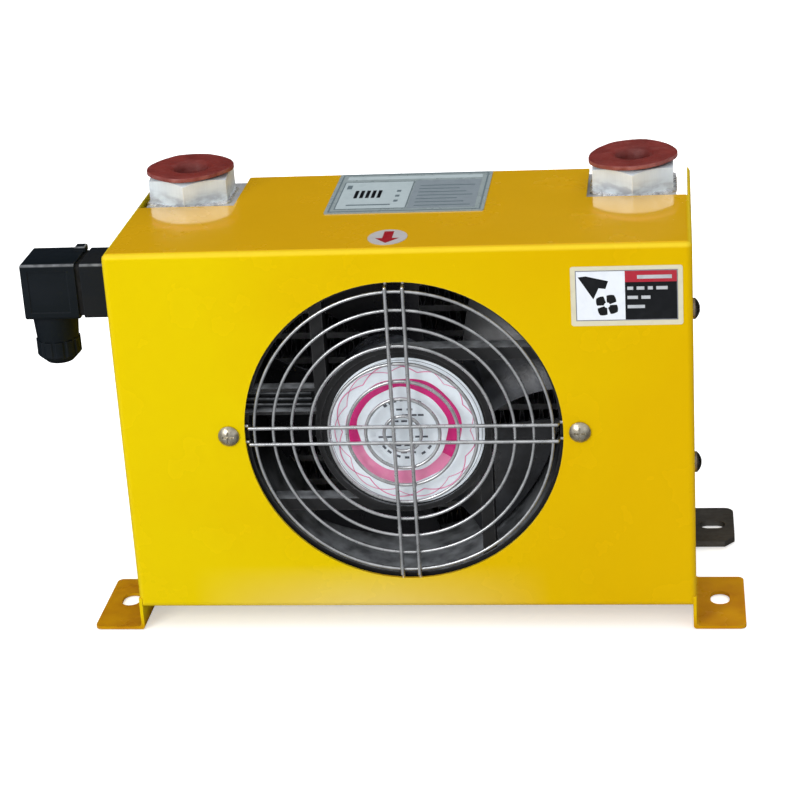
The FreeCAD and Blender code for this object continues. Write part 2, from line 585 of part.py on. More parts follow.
# ---------------------------------------------------------------- connector
def base_screw_places():
    return [(PLUG_Y + sign * BASE_SCREW_OFFSET, PLUG_Z - sign * BASE_SCREW_OFFSET) for sign in (-1, 1)]


def pin_places():
    """Middle of each contact blade and whether it stands upright."""
    return [(PLUG_Y - PIN_OFFSET, PLUG_Z, True), (PLUG_Y + PIN_OFFSET, PLUG_Z, True),
            (PLUG_Y, PLUG_Z - PIN_OFFSET, False)]


def square_block(x0, x1, side, corner):
    half = side / 2
    block = box(x0, x1, PLUG_Y - half, PLUG_Y + half, PLUG_Z - half, PLUG_Z + half)
    return fillet(block, corner, lambda m, d: along(d, X))


def pin_blank(place, x0, x1, grow):
    y, z, upright = place
    width, thick = PIN_WIDTH / 2 + grow, PIN_THICK / 2 + grow
    dy, dz = (thick, width) if upright else (width, thick)
    return box(x0, x1, y - dy, y + dy, z - dz, z + dz)


def connector_base():
    """Square panel base: pins through it, two fixing screws and a threaded insert for the plug's screw."""
    block = square_block(BASE_X0, BASE_X1, PLUG_SIDE - 0.6, PLUG_CORNER)
    collar = rod(COLLAR_R, V(BASE_X0, PLUG_Y, PLUG_Z), X, 7.0)
    groove = square_block(BASE_X0 - 2.6, BASE_X0 - 3.6, PLUG_SIDE + 2, PLUG_CORNER)
    groove = groove.cut(square_block(BASE_X0 - 2, BASE_X0 - 4, PLUG_SIDE - 1.8, PLUG_CORNER))
    tools = [groove, rod(PLUG_SCREW_R + 0.1, V(BASE_X1 - 1, PLUG_Y, PLUG_Z), X, 11)]
    tools += [pin_blank(place, BASE_X1 - 1, BASE_X0 + 9, 0) for place in pin_places()]
    for y, z in base_screw_places():
        tools.append(rod(BASE_SCREW_HOLE_R, V(BASE_X1 - 1, y, z), X, BASE_LENGTH + 2))
        tools.append(rod(BASE_SCREW_WELL_R, V(BASE_X1 - 1, y, z), X, 1 + BASE_SCREW_WELL))
    return cut(fuse([block, collar]), tools)


def base_gasket():
    """Flat seal between the base and the shroud's side."""
    pad = square_block(-SIDE_X, BASE_X0, PLUG_SIDE - 1.0, PLUG_CORNER)
    holes = [rod(CUTOUT_R, V(BASE_X0, PLUG_Y, PLUG_Z), X, BASE_GASKET)]
    holes += [rod(BASE_SCREW_HOLE_R, V(BASE_X0, y, z), X, BASE_GASKET) for y, z in base_screw_places()]
    return cut(pad, holes)


def plug_gasket():
    """Profile seal between the plug and the base, set back from their faces."""
    ring = square_block(BASE_X1, PLUG_X0, PLUG_SIDE - 2.4, PLUG_CORNER)
    return ring.cut(square_block(BASE_X1 + 1, PLUG_X0 - 1, PLUG_SIDE - 2 * PLUG_WALL - 1, PLUG_CORNER / 2))


def contact_pins():
    return Part.makeCompound([
        pin_blank(place, BASE_X1 - PIN_REACH, BASE_X0 + 11, 0) for place in pin_places()])


def base_screws():
    length = BASE_LENGTH + BASE_GASKET + 4.0
    return Part.makeCompound([
        pan_screw(V(BASE_X1 + BASE_SCREW_WELL, y, z), X * -1, BASE_SCREW_R, BASE_SCREW_HEAD_R,
                  BASE_SCREW_HEAD, length)
        for y, z in base_screw_places()])


def base_nuts():
    return Part.makeCompound([
        hex_nut(V(-INNER_X, y, z), X, 5.5, BASE_SCREW_R, 2.4) for y, z in base_screw_places()])


def plug_housing():
    """Square cover of the plug, open towards the base, with the cable gland's barrel below."""
    half = PLUG_SIDE / 2
    block = square_block(PLUG_X0, PLUG_X1, PLUG_SIDE, PLUG_CORNER)
    block = fillet(block, 1.0, lambda m, d: abs(m.x - PLUG_X1) < 0.1)
    mouth = V(GLAND_X, PLUG_Y, gland_mouth())
    barrel = Part.makeCone(GLAND_FOOT_R, GLAND_TOP_R, GLAND_LENGTH, mouth, Z)
    collar = rod(GLAND_TOP_R, mouth + Z * GLAND_LENGTH, Z, 1.0)
    neck = rod(NECK_R, mouth - Z * NECK_LENGTH, Z, NECK_LENGTH + 2)
    nib = box(PLUG_X0 - 4.5, PLUG_X0 + 0.8, PLUG_Y + half - 7.5, PLUG_Y + half - 1.5,
              PLUG_Z + half - 1, PLUG_Z + half + 2.0)
    nib = fillet(nib, 0.9, lambda m, d: m.z > PLUG_Z + half + 1.9)
    inner = half - PLUG_WALL
    hollow = box(PLUG_X0 + 1, PLUG_X1 + PLUG_WALL, PLUG_Y - inner, PLUG_Y + inner,
                 PLUG_Z - inner, PLUG_Z + inner)
    tools = [hollow, rod(PLUG_SCREW_R + 0.1, V(PLUG_X1 - 1, PLUG_Y, PLUG_Z), X, 6),
             rod(PLUG_SCREW_HEAD_R + 0.4, V(PLUG_X1 - 1, PLUG_Y, PLUG_Z), X, 2.0),
             rod(GLAND_BORE_R, mouth - Z * (NECK_LENGTH + 1), Z, NECK_LENGTH + GLAND_LENGTH + 3.5)]
    panel = PLUG_SIDE - 7.0
    for sign in (-1, 1):
        face = PLUG_Y + sign * half
        tools.append(box(PLUG_X0 - 4, PLUG_X1 + 3.5, face - sign * 0.4, face + sign,
                         PLUG_Z - panel / 2, PLUG_Z + panel / 2))
    return cut(fuse([block, barrel, collar, neck, nib]), tools)


def terminal_block():
    """Insulating insert that holds the three sockets inside the plug."""
    half = PLUG_SIDE / 2 - PLUG_WALL - 0.15
    block = box(PLUG_X0, PLUG_X0 - 13, PLUG_Y - half, PLUG_Y + half, PLUG_Z - half, PLUG_Z + half)
    tools = [pin_blank(place, PLUG_X0 + 1, PLUG_X0 - 10, PIN_CLEARANCE) for place in pin_places()]
    tools.append(rod(PLUG_SCREW_R + 0.1, V(PLUG_X0 + 1, PLUG_Y, PLUG_Z), X * -1, 15))
    return cut(block, tools)


def plug_screw():
    """Long central screw that clamps the plug to its base."""
    seat = V(PLUG_X1 + 1.0, PLUG_Y, PLUG_Z)
    shank = rod(PLUG_SCREW_R, seat, X, abs(seat.x - BASE_X1) + 8)
    head = rod(PLUG_SCREW_HEAD_R, seat, X * -1, PLUG_SCREW_HEAD)
    driver = box(seat.x - PLUG_SCREW_HEAD - 1, seat.x - PLUG_SCREW_HEAD + 1.1, PLUG_Y - 4, PLUG_Y + 4,
                 PLUG_Z - 0.4, PLUG_Z + 0.4)
    return fuse([shank, head]).cut(driver)


def gland_mouth():
    return PLUG_Z - PLUG_SIDE / 2 - GLAND_LENGTH


def gland_nut():
    """Ribbed nut that squeezes the seal round the cable."""
    top = gland_mouth() - 0.1
    axis = V(GLAND_X, PLUG_Y, top)
    blank = revolve_about(axis, Z, [
        (0, 0), (NUT_R, 0), (NUT_R, -NUT_LENGTH + NUT_CHAMFER), (NUT_R - NUT_CHAMFER, -NUT_LENGTH),
        (0, -NUT_LENGTH)], X)
    flutes = []
    for rib in range(NUT_RIBS):
        angle = math.radians(360 / NUT_RIBS * rib)
        centre = axis + (X * math.cos(angle) + Y * math.sin(angle)) * (NUT_R + 0.7)
        flutes.append(rod(NUT_FLUTE_R, centre - Z * (NUT_LENGTH + 1), Z, NUT_LENGTH + 2))
    socket = rod(NUT_SOCKET_R, axis - Z * (NECK_LENGTH + 0.1), Z, 7)
    bore = rod(NUT_BORE_R, axis - Z * (NUT_LENGTH + 1), Z, NUT_LENGTH + 2)
    return cut(blank, flutes + [socket, bore])


def gland_seal():
    """Rubber sleeve in the gland that grips the cable."""
    base = V(GLAND_X, PLUG_Y, gland_mouth() - NECK_LENGTH)
    return tube(GLAND_BORE_R, CABLE_R, base, Z, SEAL_LENGTH)


def fan_leads():
    """Three insulated wires from the motor, along the duct and up to the connector's pins."""
    duct_y, duct_z = FRONT + 7.4, FAN_AXIS_Z + DUCT_Z
    leads = []
    for (y, z, _), lane in zip(pin_places(), (1, -1, 0)):
        start_z, aside = duct_z + 2.8 * lane, y - PLUG_Y
        points = [V(x, duct_y, start_z) for x in (-42, -60, -80, -90)]
        points += [V(-104, duct_y + 16 + 0.35 * aside, start_z + 8),
                   V(-112, PLUG_Y - 13 + 1.3 * aside, (z + PLUG_Z) / 2 - 13),
                   V(-119, y, z - 1.0), V(-122, y, z)]
        leads.append(wire(points, LEAD_R))
    return Part.makeCompound(leads)


# ---------------------------------------------------------------- stickers and fasteners
def rounded_label(x0, x1, y0, y1, z0, z1, corner, axis):
    return fillet(box(x0, x1, y0, y1, z0, z1), corner, lambda m, d: along(d, axis))


def front_sticker():
    return rounded_label(STICKER_X0, STICKER_X1, FRONT - STICKER, FRONT, STICKER_Z0, STICKER_Z1, 1.2, Y)


def name_plate():
    return rounded_label(PLATE_X0, PLATE_X1, FRONT + PLATE_START, FRONT + PLATE_END,
                         Z1, Z1 + PLATE_LABEL, 1.0, Z)


def airflow_sticker():
    """Oval sticker that carries the arrow of the air's direction."""
    disc = rod(ARROW_R, V(0, 0, Z1), Z, STICKER)
    stretch = FreeCAD.Matrix()
    stretch.scale(1.0, ARROW_STRETCH, 1.0)
    oval = disc.transformGeometry(stretch)
    oval.translate(V(ARROW_X, FRONT + ARROW_DEPTH, 0))
    return oval


def fan_label():
    """Round label, stuck on slightly off the hub's middle."""
    centre = fan_point(FAN_FRONT + HUB_SETBACK + LABEL_RECESS - LABEL_THICK)
    return rod(LABEL_R, centre + X * LABEL_SHIFT_X + Z * LABEL_SHIFT_Z, Y, LABEL_THICK)


def guard_screws():
    return Part.makeCompound([
        pan_screw(V(side * FAN_SCREW_X, FRONT, FAN_AXIS_Z), Y * -1, 2.0, 4.9, 2.9, 16.0)
        for side in SIDES.values()])


def guard_nuts():
    seat_y = FRONT + FAN_FRONT + FAN_FLANGE
    return Part.makeCompound([
        hex_nut(V(side * FAN_SCREW_X, seat_y, FAN_AXIS_Z), Y, 7.0, 2.0, 3.2) for side in SIDES.values()])


def side_screws():
    return Part.makeCompound([
        pan_screw(V(side * SIDE_X, FRONT + SIDE_SCREW_DEPTH, z), X * side, 2.5, 5.0, 3.6, 10.0)
        for side, z in SIDE_SCREWS])


def side_nuts():
    return Part.makeCompound([
        hex_nut(V(side * (INNER_X - 2.0), FRONT + SIDE_SCREW_DEPTH, z), X * -side, 8.0, 2.5, 4.0)
        for side, z in SIDE_SCREWS])


# ---------------------------------------------------------------- the assembly
def build():
    PARTS["fan_shroud"] = fan_shroud()
    for name, side in SIDES.items():
        PARTS[f"core_tank_{name}"] = core_tank(side)
        PARTS[f"rear_lug_{name}"] = rear_lug(side)
        PARTS[f"port_boss_{name}"] = port_boss(side)
        PARTS[f"port_cap_{name}"] = port_cap(side)
    PARTS["tank_end_caps"] = tank_end_caps()
    PARTS["core_plates"] = core_plates()
    PARTS["oil_tubes"] = oil_tubes()
    PARTS["cooling_fins"] = cooling_fins()
    PARTS["core_brackets"] = Part.makeCompound([core_bracket(side, z) for side, z in SIDE_SCREWS])
    for make in (fan_frame, stator, stator_windings, motor_bearings, rotor_cup, rotor_ring, motor_shaft,
                 impeller_blades, finger_guard, fan_label, fan_leads,
                 connector_base, base_gasket, contact_pins, base_screws, base_nuts,
                 plug_housing, terminal_block, plug_gasket, plug_screw, gland_nut, gland_seal,
                 front_sticker, name_plate, airflow_sticker,
                 guard_screws, guard_nuts, side_screws, side_nuts):
        PARTS[make.__name__] = make()


build()
os.makedirs("parts", exist_ok=True)
for node, shape in PARTS.items():
    shape.exportStep(f"parts/{node}.step")
    print(f"{node}: {len(shape.Solids)} solids, {shape.Volume / 1000:.2f} cm3, valid {shape.isValid()}")
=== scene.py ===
"""Looks of the hydraulic oil cooler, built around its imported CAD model. Metres, in the model's own frame."""

import itertools
import math

import bmesh
import bpy
from mathutils import Matrix, Vector, noise


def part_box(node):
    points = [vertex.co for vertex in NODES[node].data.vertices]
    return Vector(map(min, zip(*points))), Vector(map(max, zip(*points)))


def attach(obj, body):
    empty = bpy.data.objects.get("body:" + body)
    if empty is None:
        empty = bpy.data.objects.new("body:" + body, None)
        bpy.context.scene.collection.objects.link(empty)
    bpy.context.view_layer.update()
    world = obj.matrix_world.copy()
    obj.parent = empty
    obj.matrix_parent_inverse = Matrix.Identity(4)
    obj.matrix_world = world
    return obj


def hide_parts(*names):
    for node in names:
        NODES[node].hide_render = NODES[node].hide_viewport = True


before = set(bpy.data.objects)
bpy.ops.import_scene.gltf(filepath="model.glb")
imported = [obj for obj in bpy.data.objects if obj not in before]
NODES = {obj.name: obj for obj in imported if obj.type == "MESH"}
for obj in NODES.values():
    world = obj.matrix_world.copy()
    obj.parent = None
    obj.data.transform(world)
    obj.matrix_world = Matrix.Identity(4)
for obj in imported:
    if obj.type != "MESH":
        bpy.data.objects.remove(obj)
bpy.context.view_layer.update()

MM = 0.001
SAME_POINT = 1e-7                  # points closer than this are merged, in metres
FLOOR_HALF, FLOOR_DROP = 8.0, 0.0004

# heights between which the heat stain fades out on the ports, in metres
PORT_STAIN_FADE = (0.1885, 0.1955)

# camera: where it looks from, as angles about a point on the front panel
CAMERA_AZIMUTH, CAMERA_ELEVATION, CAMERA_ROLL = 7.75, 21.64, -3.69
CAMERA_DISTANCE, CAMERA_LENS = 1.017, 100.7
CAMERA_AIM_RIGHT, CAMERA_AIM_UP = -0.0008, 0.0208
CAMERA_SHIFT = (0.0022, -0.0102)

# printed films, caps and welds: millimetres
INK = 0.06                         # thickness of a film
CAP_STEPS, CAP_WELL_RADIUS = 96, 8.0
CAP_STEM_SHARE = 0.4               # how much of the flange's rise the stem and the well take
BEAD_SIDES, BEAD_FLATNESS, BEAD_STEP = 10, 0.8, 0.8
PORT_BEAD, SEAM_BEAD, END_BEAD, LUG_BEAD = 1.6, 0.9, 0.8, 1.1      # radii of the beads
PORT_BEAD_LIFT, PORT_BEAD_REACH = 0.2, 0.4      # its middle above the tank and outside the hexagon
SEAM_INSET, END_INSET, LUG_INSET = 2.0, 3.0, 1.0      # how far a bead stays from its seam's ends
NUGGET_RADIUS, NUGGET_FLATNESS = 1.05, 0.8
GUARD_RINGS = (68.9, 60.1, 51.5, 42.9, 34.3, 25.7, 17.1, 8.6)
GUARD_GAP = 4.0                    # from a spoke wire to the middle line that it runs along
GUARD_CROSSING_Y = -0.4            # where rings and spokes touch, from the front panel
LUG_WEB_INSET, LUG_THICK = 10.0, 3.0

# each ink's colour and the shade it wears to
INKS = {
    "white": ((0.80, 0.84, 0.90), (0.72, 0.76, 0.82)),
    "black": ((0.004, 0.005, 0.007), (0.011, 0.012, 0.015)),
    "red": ((0.42, 0.016, 0.035), (0.36, 0.04, 0.05)),
    "dark_red": ((0.30, 0.008, 0.016), (0.25, 0.02, 0.03)),
    "grey": ((0.20, 0.21, 0.24), (0.32, 0.33, 0.36)),
    "dark_grey": ((0.08, 0.09, 0.11), (0.18, 0.19, 0.22)),
    "pale": ((0.50, 0.52, 0.55), (0.36, 0.38, 0.41)),
    "plate_line": ((0.13, 0.17, 0.19), (0.17, 0.21, 0.23)),
    "plate_shade": ((0.22, 0.26, 0.29), (0.19, 0.22, 0.25)),
    "plate_white": ((0.42, 0.49, 0.51), (0.36, 0.43, 0.45)),
    "magenta": ((0.62, 0.022, 0.19), (0.66, 0.07, 0.26)),
    "pink": ((0.76, 0.24, 0.42), (0.80, 0.36, 0.50)),
}


# ---------------------------------------------------------------- materials: helpers
class Surface:
    """A material being made: a Principled shader, and short ways to put nodes in front of it.

    Sizes are in metres. Patterns are laid out in object space, which is the model's frame at rest.
    """

    def __init__(self, name, metallic=0.0, **inputs):
        self.material = bpy.data.materials.new(name)
        self.material.use_nodes = True
        self.tree = self.material.node_tree
        self.shader = next(n for n in self.tree.nodes if n.type == "BSDF_PRINCIPLED")
        coordinates = self.node("ShaderNodeTexCoord")
        self.position = coordinates.outputs["Object"]
        self.facing = coordinates.outputs["Normal"]
        self.set("Metallic", metallic)
        for key, value in inputs.items():
            self.set(key.replace("_", " "), value)

    def put(self, socket, value):
        if isinstance(value, bpy.types.NodeSocket):
            self.tree.links.new(value, socket)
        elif socket.type == "RGBA" and len(value) == 3:
            socket.default_value = (*value, 1.0)
        else:
            socket.default_value = value

    def set(self, key, value):
        self.put(self.shader.inputs[key], value)

    def node(self, kind, inputs=None, **settings):
        made = self.tree.nodes.new(kind)
        for key, value in settings.items():
            setattr(made, key, value)
        for key, value in (inputs or {}).items():
            self.put(made.inputs[key], value)
        return made

    def math(self, operation, *values):
        made = self.node("ShaderNodeMath", operation=operation)
        for socket, value in zip(made.inputs, values):
            self.put(socket, value)
        return made.outputs[0]

    def vector(self, operation, *values):
        made = self.node("ShaderNodeVectorMath", operation=operation)
        for socket, value in zip(made.inputs, values):
            self.put(socket, value)
        return made.outputs["Value" if operation == "DOT_PRODUCT" else "Vector"]

    def axes(self, vector=None):
        split = self.node("ShaderNodeSeparateXYZ", {"Vector": vector or self.position})
        return split.outputs["X"], split.outputs["Y"], split.outputs["Z"]

    def noise(self, size, detail=3.0, stretch=(1, 1, 1), seed=0.0, roughness=0.5):
        """Noise with features of about this size; stretch makes them longer along an axis."""
        scaled = self.vector("MULTIPLY", self.position, [1 / (size * s) for s in stretch])
        moved = self.vector("ADD", scaled, (seed, seed * 1.7, seed * 0.6))
        made = self.node("ShaderNodeTexNoise", {
            "Vector": moved, "Scale": 1.0, "Detail": detail, "Roughness": roughness})
        return made.outputs["Fac"]

    def spread(self, value, low, high, start=0.35, end=0.65):
        """Maps start..end of value to low..high, clamped."""
        return self.node("ShaderNodeMapRange", {
            "Value": value, "From Min": start, "From Max": end, "To Min": low, "To Max": high},
            clamp=True).outputs["Result"]

    def mix(self, share, first, second):
        made = self.node("ShaderNodeMix", data_type="RGBA")
        self.put(made.inputs["Factor"], share)
        for socket, value in zip([s for s in made.inputs if s.type == "RGBA"], (first, second)):
            self.put(socket, value)
        return next(s for s in made.outputs if s.type == "RGBA")

    def rounded(self, radius):
        """Normal that rounds every edge by this radius."""
        return self.node("ShaderNodeBevel", {"Radius": radius}, samples=4).outputs["Normal"]

    def upward(self, start, end):
        """0 on upright faces, 1 on faces that look up."""
        return self.spread(self.axes(self.facing)[2], 0.0, 1.0, start, end)

    def shoulder(self, rise, fall):
        """1 on rounded folds that look partly up, 0 on upright and on level faces."""
        tilt = self.axes(self.facing)[2]
        return self.math("MULTIPLY", self.spread(tilt, 0.0, 1.0, *rise), self.spread(tilt, 1.0, 0.0, *fall))

    def edges(self, radius):
        """1 on edges and 0 away from them."""
        true_normal = self.node("ShaderNodeNewGeometry").outputs["Normal"]
        agreement = self.vector("DOT_PRODUCT", self.rounded(radius), true_normal)
        return self.spread(agreement, 1.0, 0.0, 0.85, 0.995)

    def bump(self, height, distance, normal=None):
        inputs = {"Height": height, "Distance": distance, "Strength": 1.0}
        if normal is not None:
            inputs["Normal"] = normal
        return self.node("ShaderNodeBump", inputs).outputs["Normal"]

    def relief(self, *layers, radius=0.0):
        """Bumps on top of each other, each as (height, distance), over rounded edges."""
        normal = self.rounded(radius) if radius else None
        for height, distance in layers:
            normal = self.bump(height, distance, normal)
        self.set("Normal", normal)


# ---------------------------------------------------------------- materials
def yellow_paint():
    """Gloss enamel, polished on top. Painted light: a deeper orange shade on top, shade from left to right, a
    pale reflection low on the front, highlights on folds and edges, brown shade low on the feet.
    """
    s = Surface("yellow_enamel", Specular_Tint=(1.0, 0.70, 0.02, 1.0), Coat_IOR=1.8,
                Coat_Roughness=0.04)
    x, _, z = s.axes()
    up = s.upward(0.93, 0.99)
    # cloud is random tone plus painted shade that darkens the front from left to right
    cloud = s.math("ADD", s.noise(0.09, 2.0), s.math("MULTIPLY", x, 3.4))
    front = s.mix(s.spread(cloud, 0.0, 1.0, 0.15, 0.9), (0.745, 0.555, 0.001), (0.69, 0.425, 0.001))
    # painted reflection: a pale glow low in the middle of the front
    middle = s.spread(s.math("ABSOLUTE", s.math("ADD", x, 0.02)), 1.0, 0.0, 0.01, 0.085)
    band = s.math("MULTIPLY", middle, s.spread(z, 0.75, 0.0, 0.012, 0.034))
    front = s.mix(band, front, (0.78, 0.60, 0.19))
    # painted shade: the faces that look up get a deeper, darker orange than the front
    colour = s.mix(up, front, (0.84, 0.46, 0.001))
    # painted highlight: rounded folds that look partly up are made a brighter yellow
    colour = s.mix(s.shoulder((0.15, 0.5), (0.75, 0.95)), colour, (0.86, 0.62, 0.03))
    mottle = s.spread(s.noise(0.006, 4.0, seed=3.0), 0.0, 0.06, 0.4, 0.75)
    colour = s.mix(mottle, colour, (0.70, 0.42, 0.001))
    # painted highlight: a lighter yellow on the sharp edges, in patches
    edge_highlight = s.math("MULTIPLY", s.edges(0.0009), s.spread(s.noise(0.004, 3.0, seed=8.0), 0.05, 0.6))
    colour = s.mix(edge_highlight, colour, (0.92, 0.70, 0.03))
    # painted shade: a darker brown-orange in patches towards the floor, on the feet
    film = s.spread(s.noise(0.012, 4.0, seed=11.0), 0.6, 0.95, 0.35, 0.65)
    low = s.math("MULTIPLY", s.spread(z, 1.0, 0.0, 0.0016, 0.0075), film)
    colour = s.mix(low, colour, (0.50, 0.20, 0.003))
    s.set("Base Color", colour)
    s.set("Coat Weight", up)
    s.set("Roughness", s.spread(s.noise(0.03, 4.0, seed=5.0), 0.20, 0.30))
    s.relief((s.noise(0.0035, 2.0, seed=1.0), 0.00002),
             (s.noise(0.018, 1.0, seed=2.0), 0.00005), radius=0.0004)
    return s.material


def guard_chrome(name):
    """Bright nickel-plated wire with drawing lines and dull patches."""
    s = Surface(name, metallic=1.0)
    dull = s.spread(s.noise(0.006, 4.0), 0.0, 1.0, 0.4, 0.7)
    s.set("Base Color", s.mix(dull, (0.66, 0.67, 0.68), (0.44, 0.45, 0.46)))
    s.set("Roughness", s.spread(s.noise(0.002, 3.0, seed=2.0), 0.26, 0.42))
    s.relief((s.noise(0.0007, 2.0, seed=4.0), 0.00002))
    return s.material


def black_casting(name, tint):
    """Black-painted die casting: fine grain, edges rubbed lighter, and grey on the faces that look up, which
    is dust and a painted highlight.
    """
    s = Surface(name, Specular_IOR_Level=0.35)
    rub = s.math("MULTIPLY", s.edges(0.0010), s.spread(s.noise(0.003, 3.0), 0.2, 0.9))
    dusty = s.spread(s.noise(0.02, 4.0, seed=3.0), 0.0, 0.5, 0.45, 0.7)
    colour = s.mix(dusty, tint, (0.020, 0.021, 0.023))
    # dust and painted highlight: grey in patches on the faces that look up
    dust_and_highlight = s.math("MULTIPLY", s.upward(0.25, 0.9), s.spread(s.noise(0.009, 4.0, seed=9.0), 0.3, 1.0))
    colour = s.mix(dust_and_highlight, colour, (0.42, 0.44, 0.47))
    s.set("Base Color", s.mix(rub, colour, (0.075, 0.077, 0.08)))
    s.set("Roughness", s.spread(s.noise(0.008, 3.0, seed=5.0), 0.38, 0.6))
    s.relief((s.noise(0.0009, 3.0, seed=6.0), 0.00008), radius=0.0005)
    return s.material


def moulded_black(name, tint):
    """Glass-filled black polyamide: spark-eroded texture, and a painted highlight, a light line on the upper
    rounded edges.
    """
    s = Surface(name, Specular_IOR_Level=0.12)
    streak = s.spread(s.noise(0.012, 3.0, stretch=(3, 1, 1)), 0.0, 1.0, 0.35, 0.7)
    colour = s.mix(streak, tint, (0.007, 0.010, 0.014))
    patchy = s.spread(s.noise(0.004, 3.0, seed=7.0), 0.4, 1.0)
    # painted highlight: a light line in patches on the rounded upper edges
    tone_shift = s.math("MULTIPLY", s.shoulder((0.2, 0.5), (0.88, 0.99)), patchy)
    colour = s.mix(tone_shift, colour, (0.20, 0.21, 0.225))
    rub = s.math("MULTIPLY", s.edges(0.0007), 0.35)
    s.set("Base Color", s.mix(rub, colour, (0.035, 0.040, 0.050)))
    s.set("Roughness", s.spread(s.noise(0.006, 3.0, seed=2.0), 0.42, 0.56))
    s.relief((s.noise(0.0006, 2.0, seed=4.0), 0.00004), radius=0.0006)
    return s.material


def blade_plastic():
    """Semi-matte moulded blades, bluish grey on the faces that look up: dust and a painted sheen."""
    s = Surface("black_blade")
    # dust and painted sheen: bluish grey in patches on the faces that look up
    dust_and_sheen = s.math("MULTIPLY", s.upward(0.1, 0.9), s.spread(s.noise(0.010, 4.0), 0.2, 1.0))
    s.set("Base Color", s.mix(dust_and_sheen, (0.008, 0.008, 0.010), (0.17, 0.185, 0.215)))
    s.set("Roughness", s.spread(s.noise(0.02, 3.0, seed=2.0), 0.22, 0.4))
    s.relief((s.noise(0.0012, 2.0, seed=5.0), 0.00004), radius=0.0003)
    return s.material


def machined_aluminium(name, bright, dark, grain, rough, metallic):
    """Aluminium with cutting lines along the axis whose stretch is long, grey stains and bright edges."""
    s = Surface(name, metallic)
    stain = s.spread(s.noise(0.011, 5.0, seed=1.0, roughness=0.65), 0.0, 1.0, 0.4, 0.72)
    lines = s.noise(0.0009, 2.0, stretch=grain, seed=2.0)
    colour = s.mix(stain, bright, dark)
    colour = s.mix(s.spread(lines, 0.0, 0.35), colour, dark)
    s.set("Base Color", s.mix(s.edges(0.0008), colour, bright))
    s.set("Roughness", s.spread(s.noise(0.004, 4.0, seed=7.0), *rough))
    s.relief((lines, 0.00004), (s.noise(0.006, 3.0, seed=9.0), 0.00008), radius=0.0004)
    return s.material


def port_aluminium():
    """Bright satin ports: faint milling lines, and heat stain and spatter towards the weld at the foot."""
    s = Surface("port_aluminium", metallic=0.14)
    lines = s.noise(0.0008, 2.0, stretch=(1, 1, 12), seed=2.0)
    foot = s.spread(s.axes()[2], 1.0, 0.0, *PORT_STAIN_FADE)
    cloud = s.spread(s.noise(0.008, 3.0, seed=1.0), 0.0, 0.55, 0.4, 0.7)
    smudge = s.noise(0.0045, 5.0, stretch=(1.6, 1.6, 0.7), seed=4.0)
    stain = s.math("MULTIPLY", foot, s.spread(smudge, 0.0, 1.0, 0.4, 0.6))
    colour = s.mix(cloud, (0.87, 0.95, 1.0), (0.75, 0.83, 0.91))
    colour = s.mix(s.spread(lines, 0.0, 0.12), colour, (0.56, 0.62, 0.68))
    colour = s.mix(stain, colour, (0.42, 0.44, 0.49))
    s.set("Base Color", s.mix(s.edges(0.0007), colour, (0.98, 1.0, 1.0)))
    s.set("Roughness", s.spread(s.noise(0.004, 4.0, seed=7.0), 0.28, 0.46))
    s.relief((lines, 0.00002), (s.noise(0.004, 3.0, seed=9.0), 0.00010), radius=0.0004)
    return s.material


def weld_metal():
    """Fresh aluminium weld: bright, with dull oxide between the ripples."""
    s = Surface("weld_metal", metallic=0.7)
    oxide = s.spread(s.noise(0.003, 5.0), 0.0, 1.0, 0.45, 0.75)
    s.set("Base Color", s.mix(oxide, (0.90, 0.91, 0.92), (0.52, 0.52, 0.54)))
    s.set("Roughness", s.spread(s.noise(0.002, 3.0, seed=3.0), 0.16, 0.42))
    s.relief((s.noise(0.0012, 3.0, seed=6.0), 0.00012))
    return s.material


def red_plastic():
    """Soft brick-red polyethylene, slightly waxy, with scuffs, a painted highlight on the upright rim, and
    painted shade with weaker gloss deep in the well.
    """
    s = Surface("brick_red_polyethylene", Subsurface_Weight=0.08, Subsurface_Scale=0.002)
    cloud = s.spread(s.noise(0.010, 4.0), 0.0, 1.0, 0.35, 0.7)
    scuff = s.spread(s.noise(0.0035, 5.0, stretch=(2, 1, 1), seed=4.0, roughness=0.7), 0.0, 0.55, 0.55, 0.8)
    colour = s.mix(cloud, (0.20, 0.030, 0.024), (0.145, 0.020, 0.017))
    colour = s.mix(scuff, colour, (0.30, 0.085, 0.07))
    # painted highlight: the upright faces, such as the flange's rim, are made a paler red
    upright = s.spread(s.axes(s.facing)[2], 1.0, 0.0, 0.1, 0.8)
    rim = s.math("MULTIPLY", upright, s.spread(s.noise(0.005), 0.2, 0.8))
    colour = s.mix(rim, colour, (0.44, 0.16, 0.15))
    # painted shade: where little sky reaches, as in the well, the red turns near black and the gloss weaker
    open_sky = s.node("ShaderNodeAmbientOcclusion", {"Distance": 0.012}, samples=8).outputs["AO"]
    s.set("Base Color", s.mix(s.spread(open_sky, 0.85, 0.0, 0.5, 0.97), colour, (0.055, 0.004, 0.003)))
    s.set("Specular IOR Level", s.spread(open_sky, 0.02, 0.3, 0.6, 0.97))
    s.set("Roughness", s.spread(s.noise(0.004, 3.0, seed=2.0), 0.34, 0.55))
    s.relief((s.noise(0.0009, 3.0, seed=8.0), 0.00005), (s.noise(0.007, 2.0, seed=6.0), 0.0003))
    return s.material


def plated_steel(name, bright, dark, rough=(0.22, 0.42)):
    """Zinc-plated steel with a passivation bloom that the edges are free of."""
    s = Surface(name, metallic=1.0)
    bloom = s.spread(s.noise(0.003, 4.0), 0.0, 1.0, 0.4, 0.7)
    s.set("Base Color", s.mix(s.edges(0.0006), s.mix(bloom, bright, dark), bright))
    s.set("Roughness", s.spread(s.noise(0.0015, 3.0, seed=3.0), *rough))
    s.relief((s.noise(0.0008, 2.0, seed=5.0), 0.00003), radius=0.0002)
    return s.material


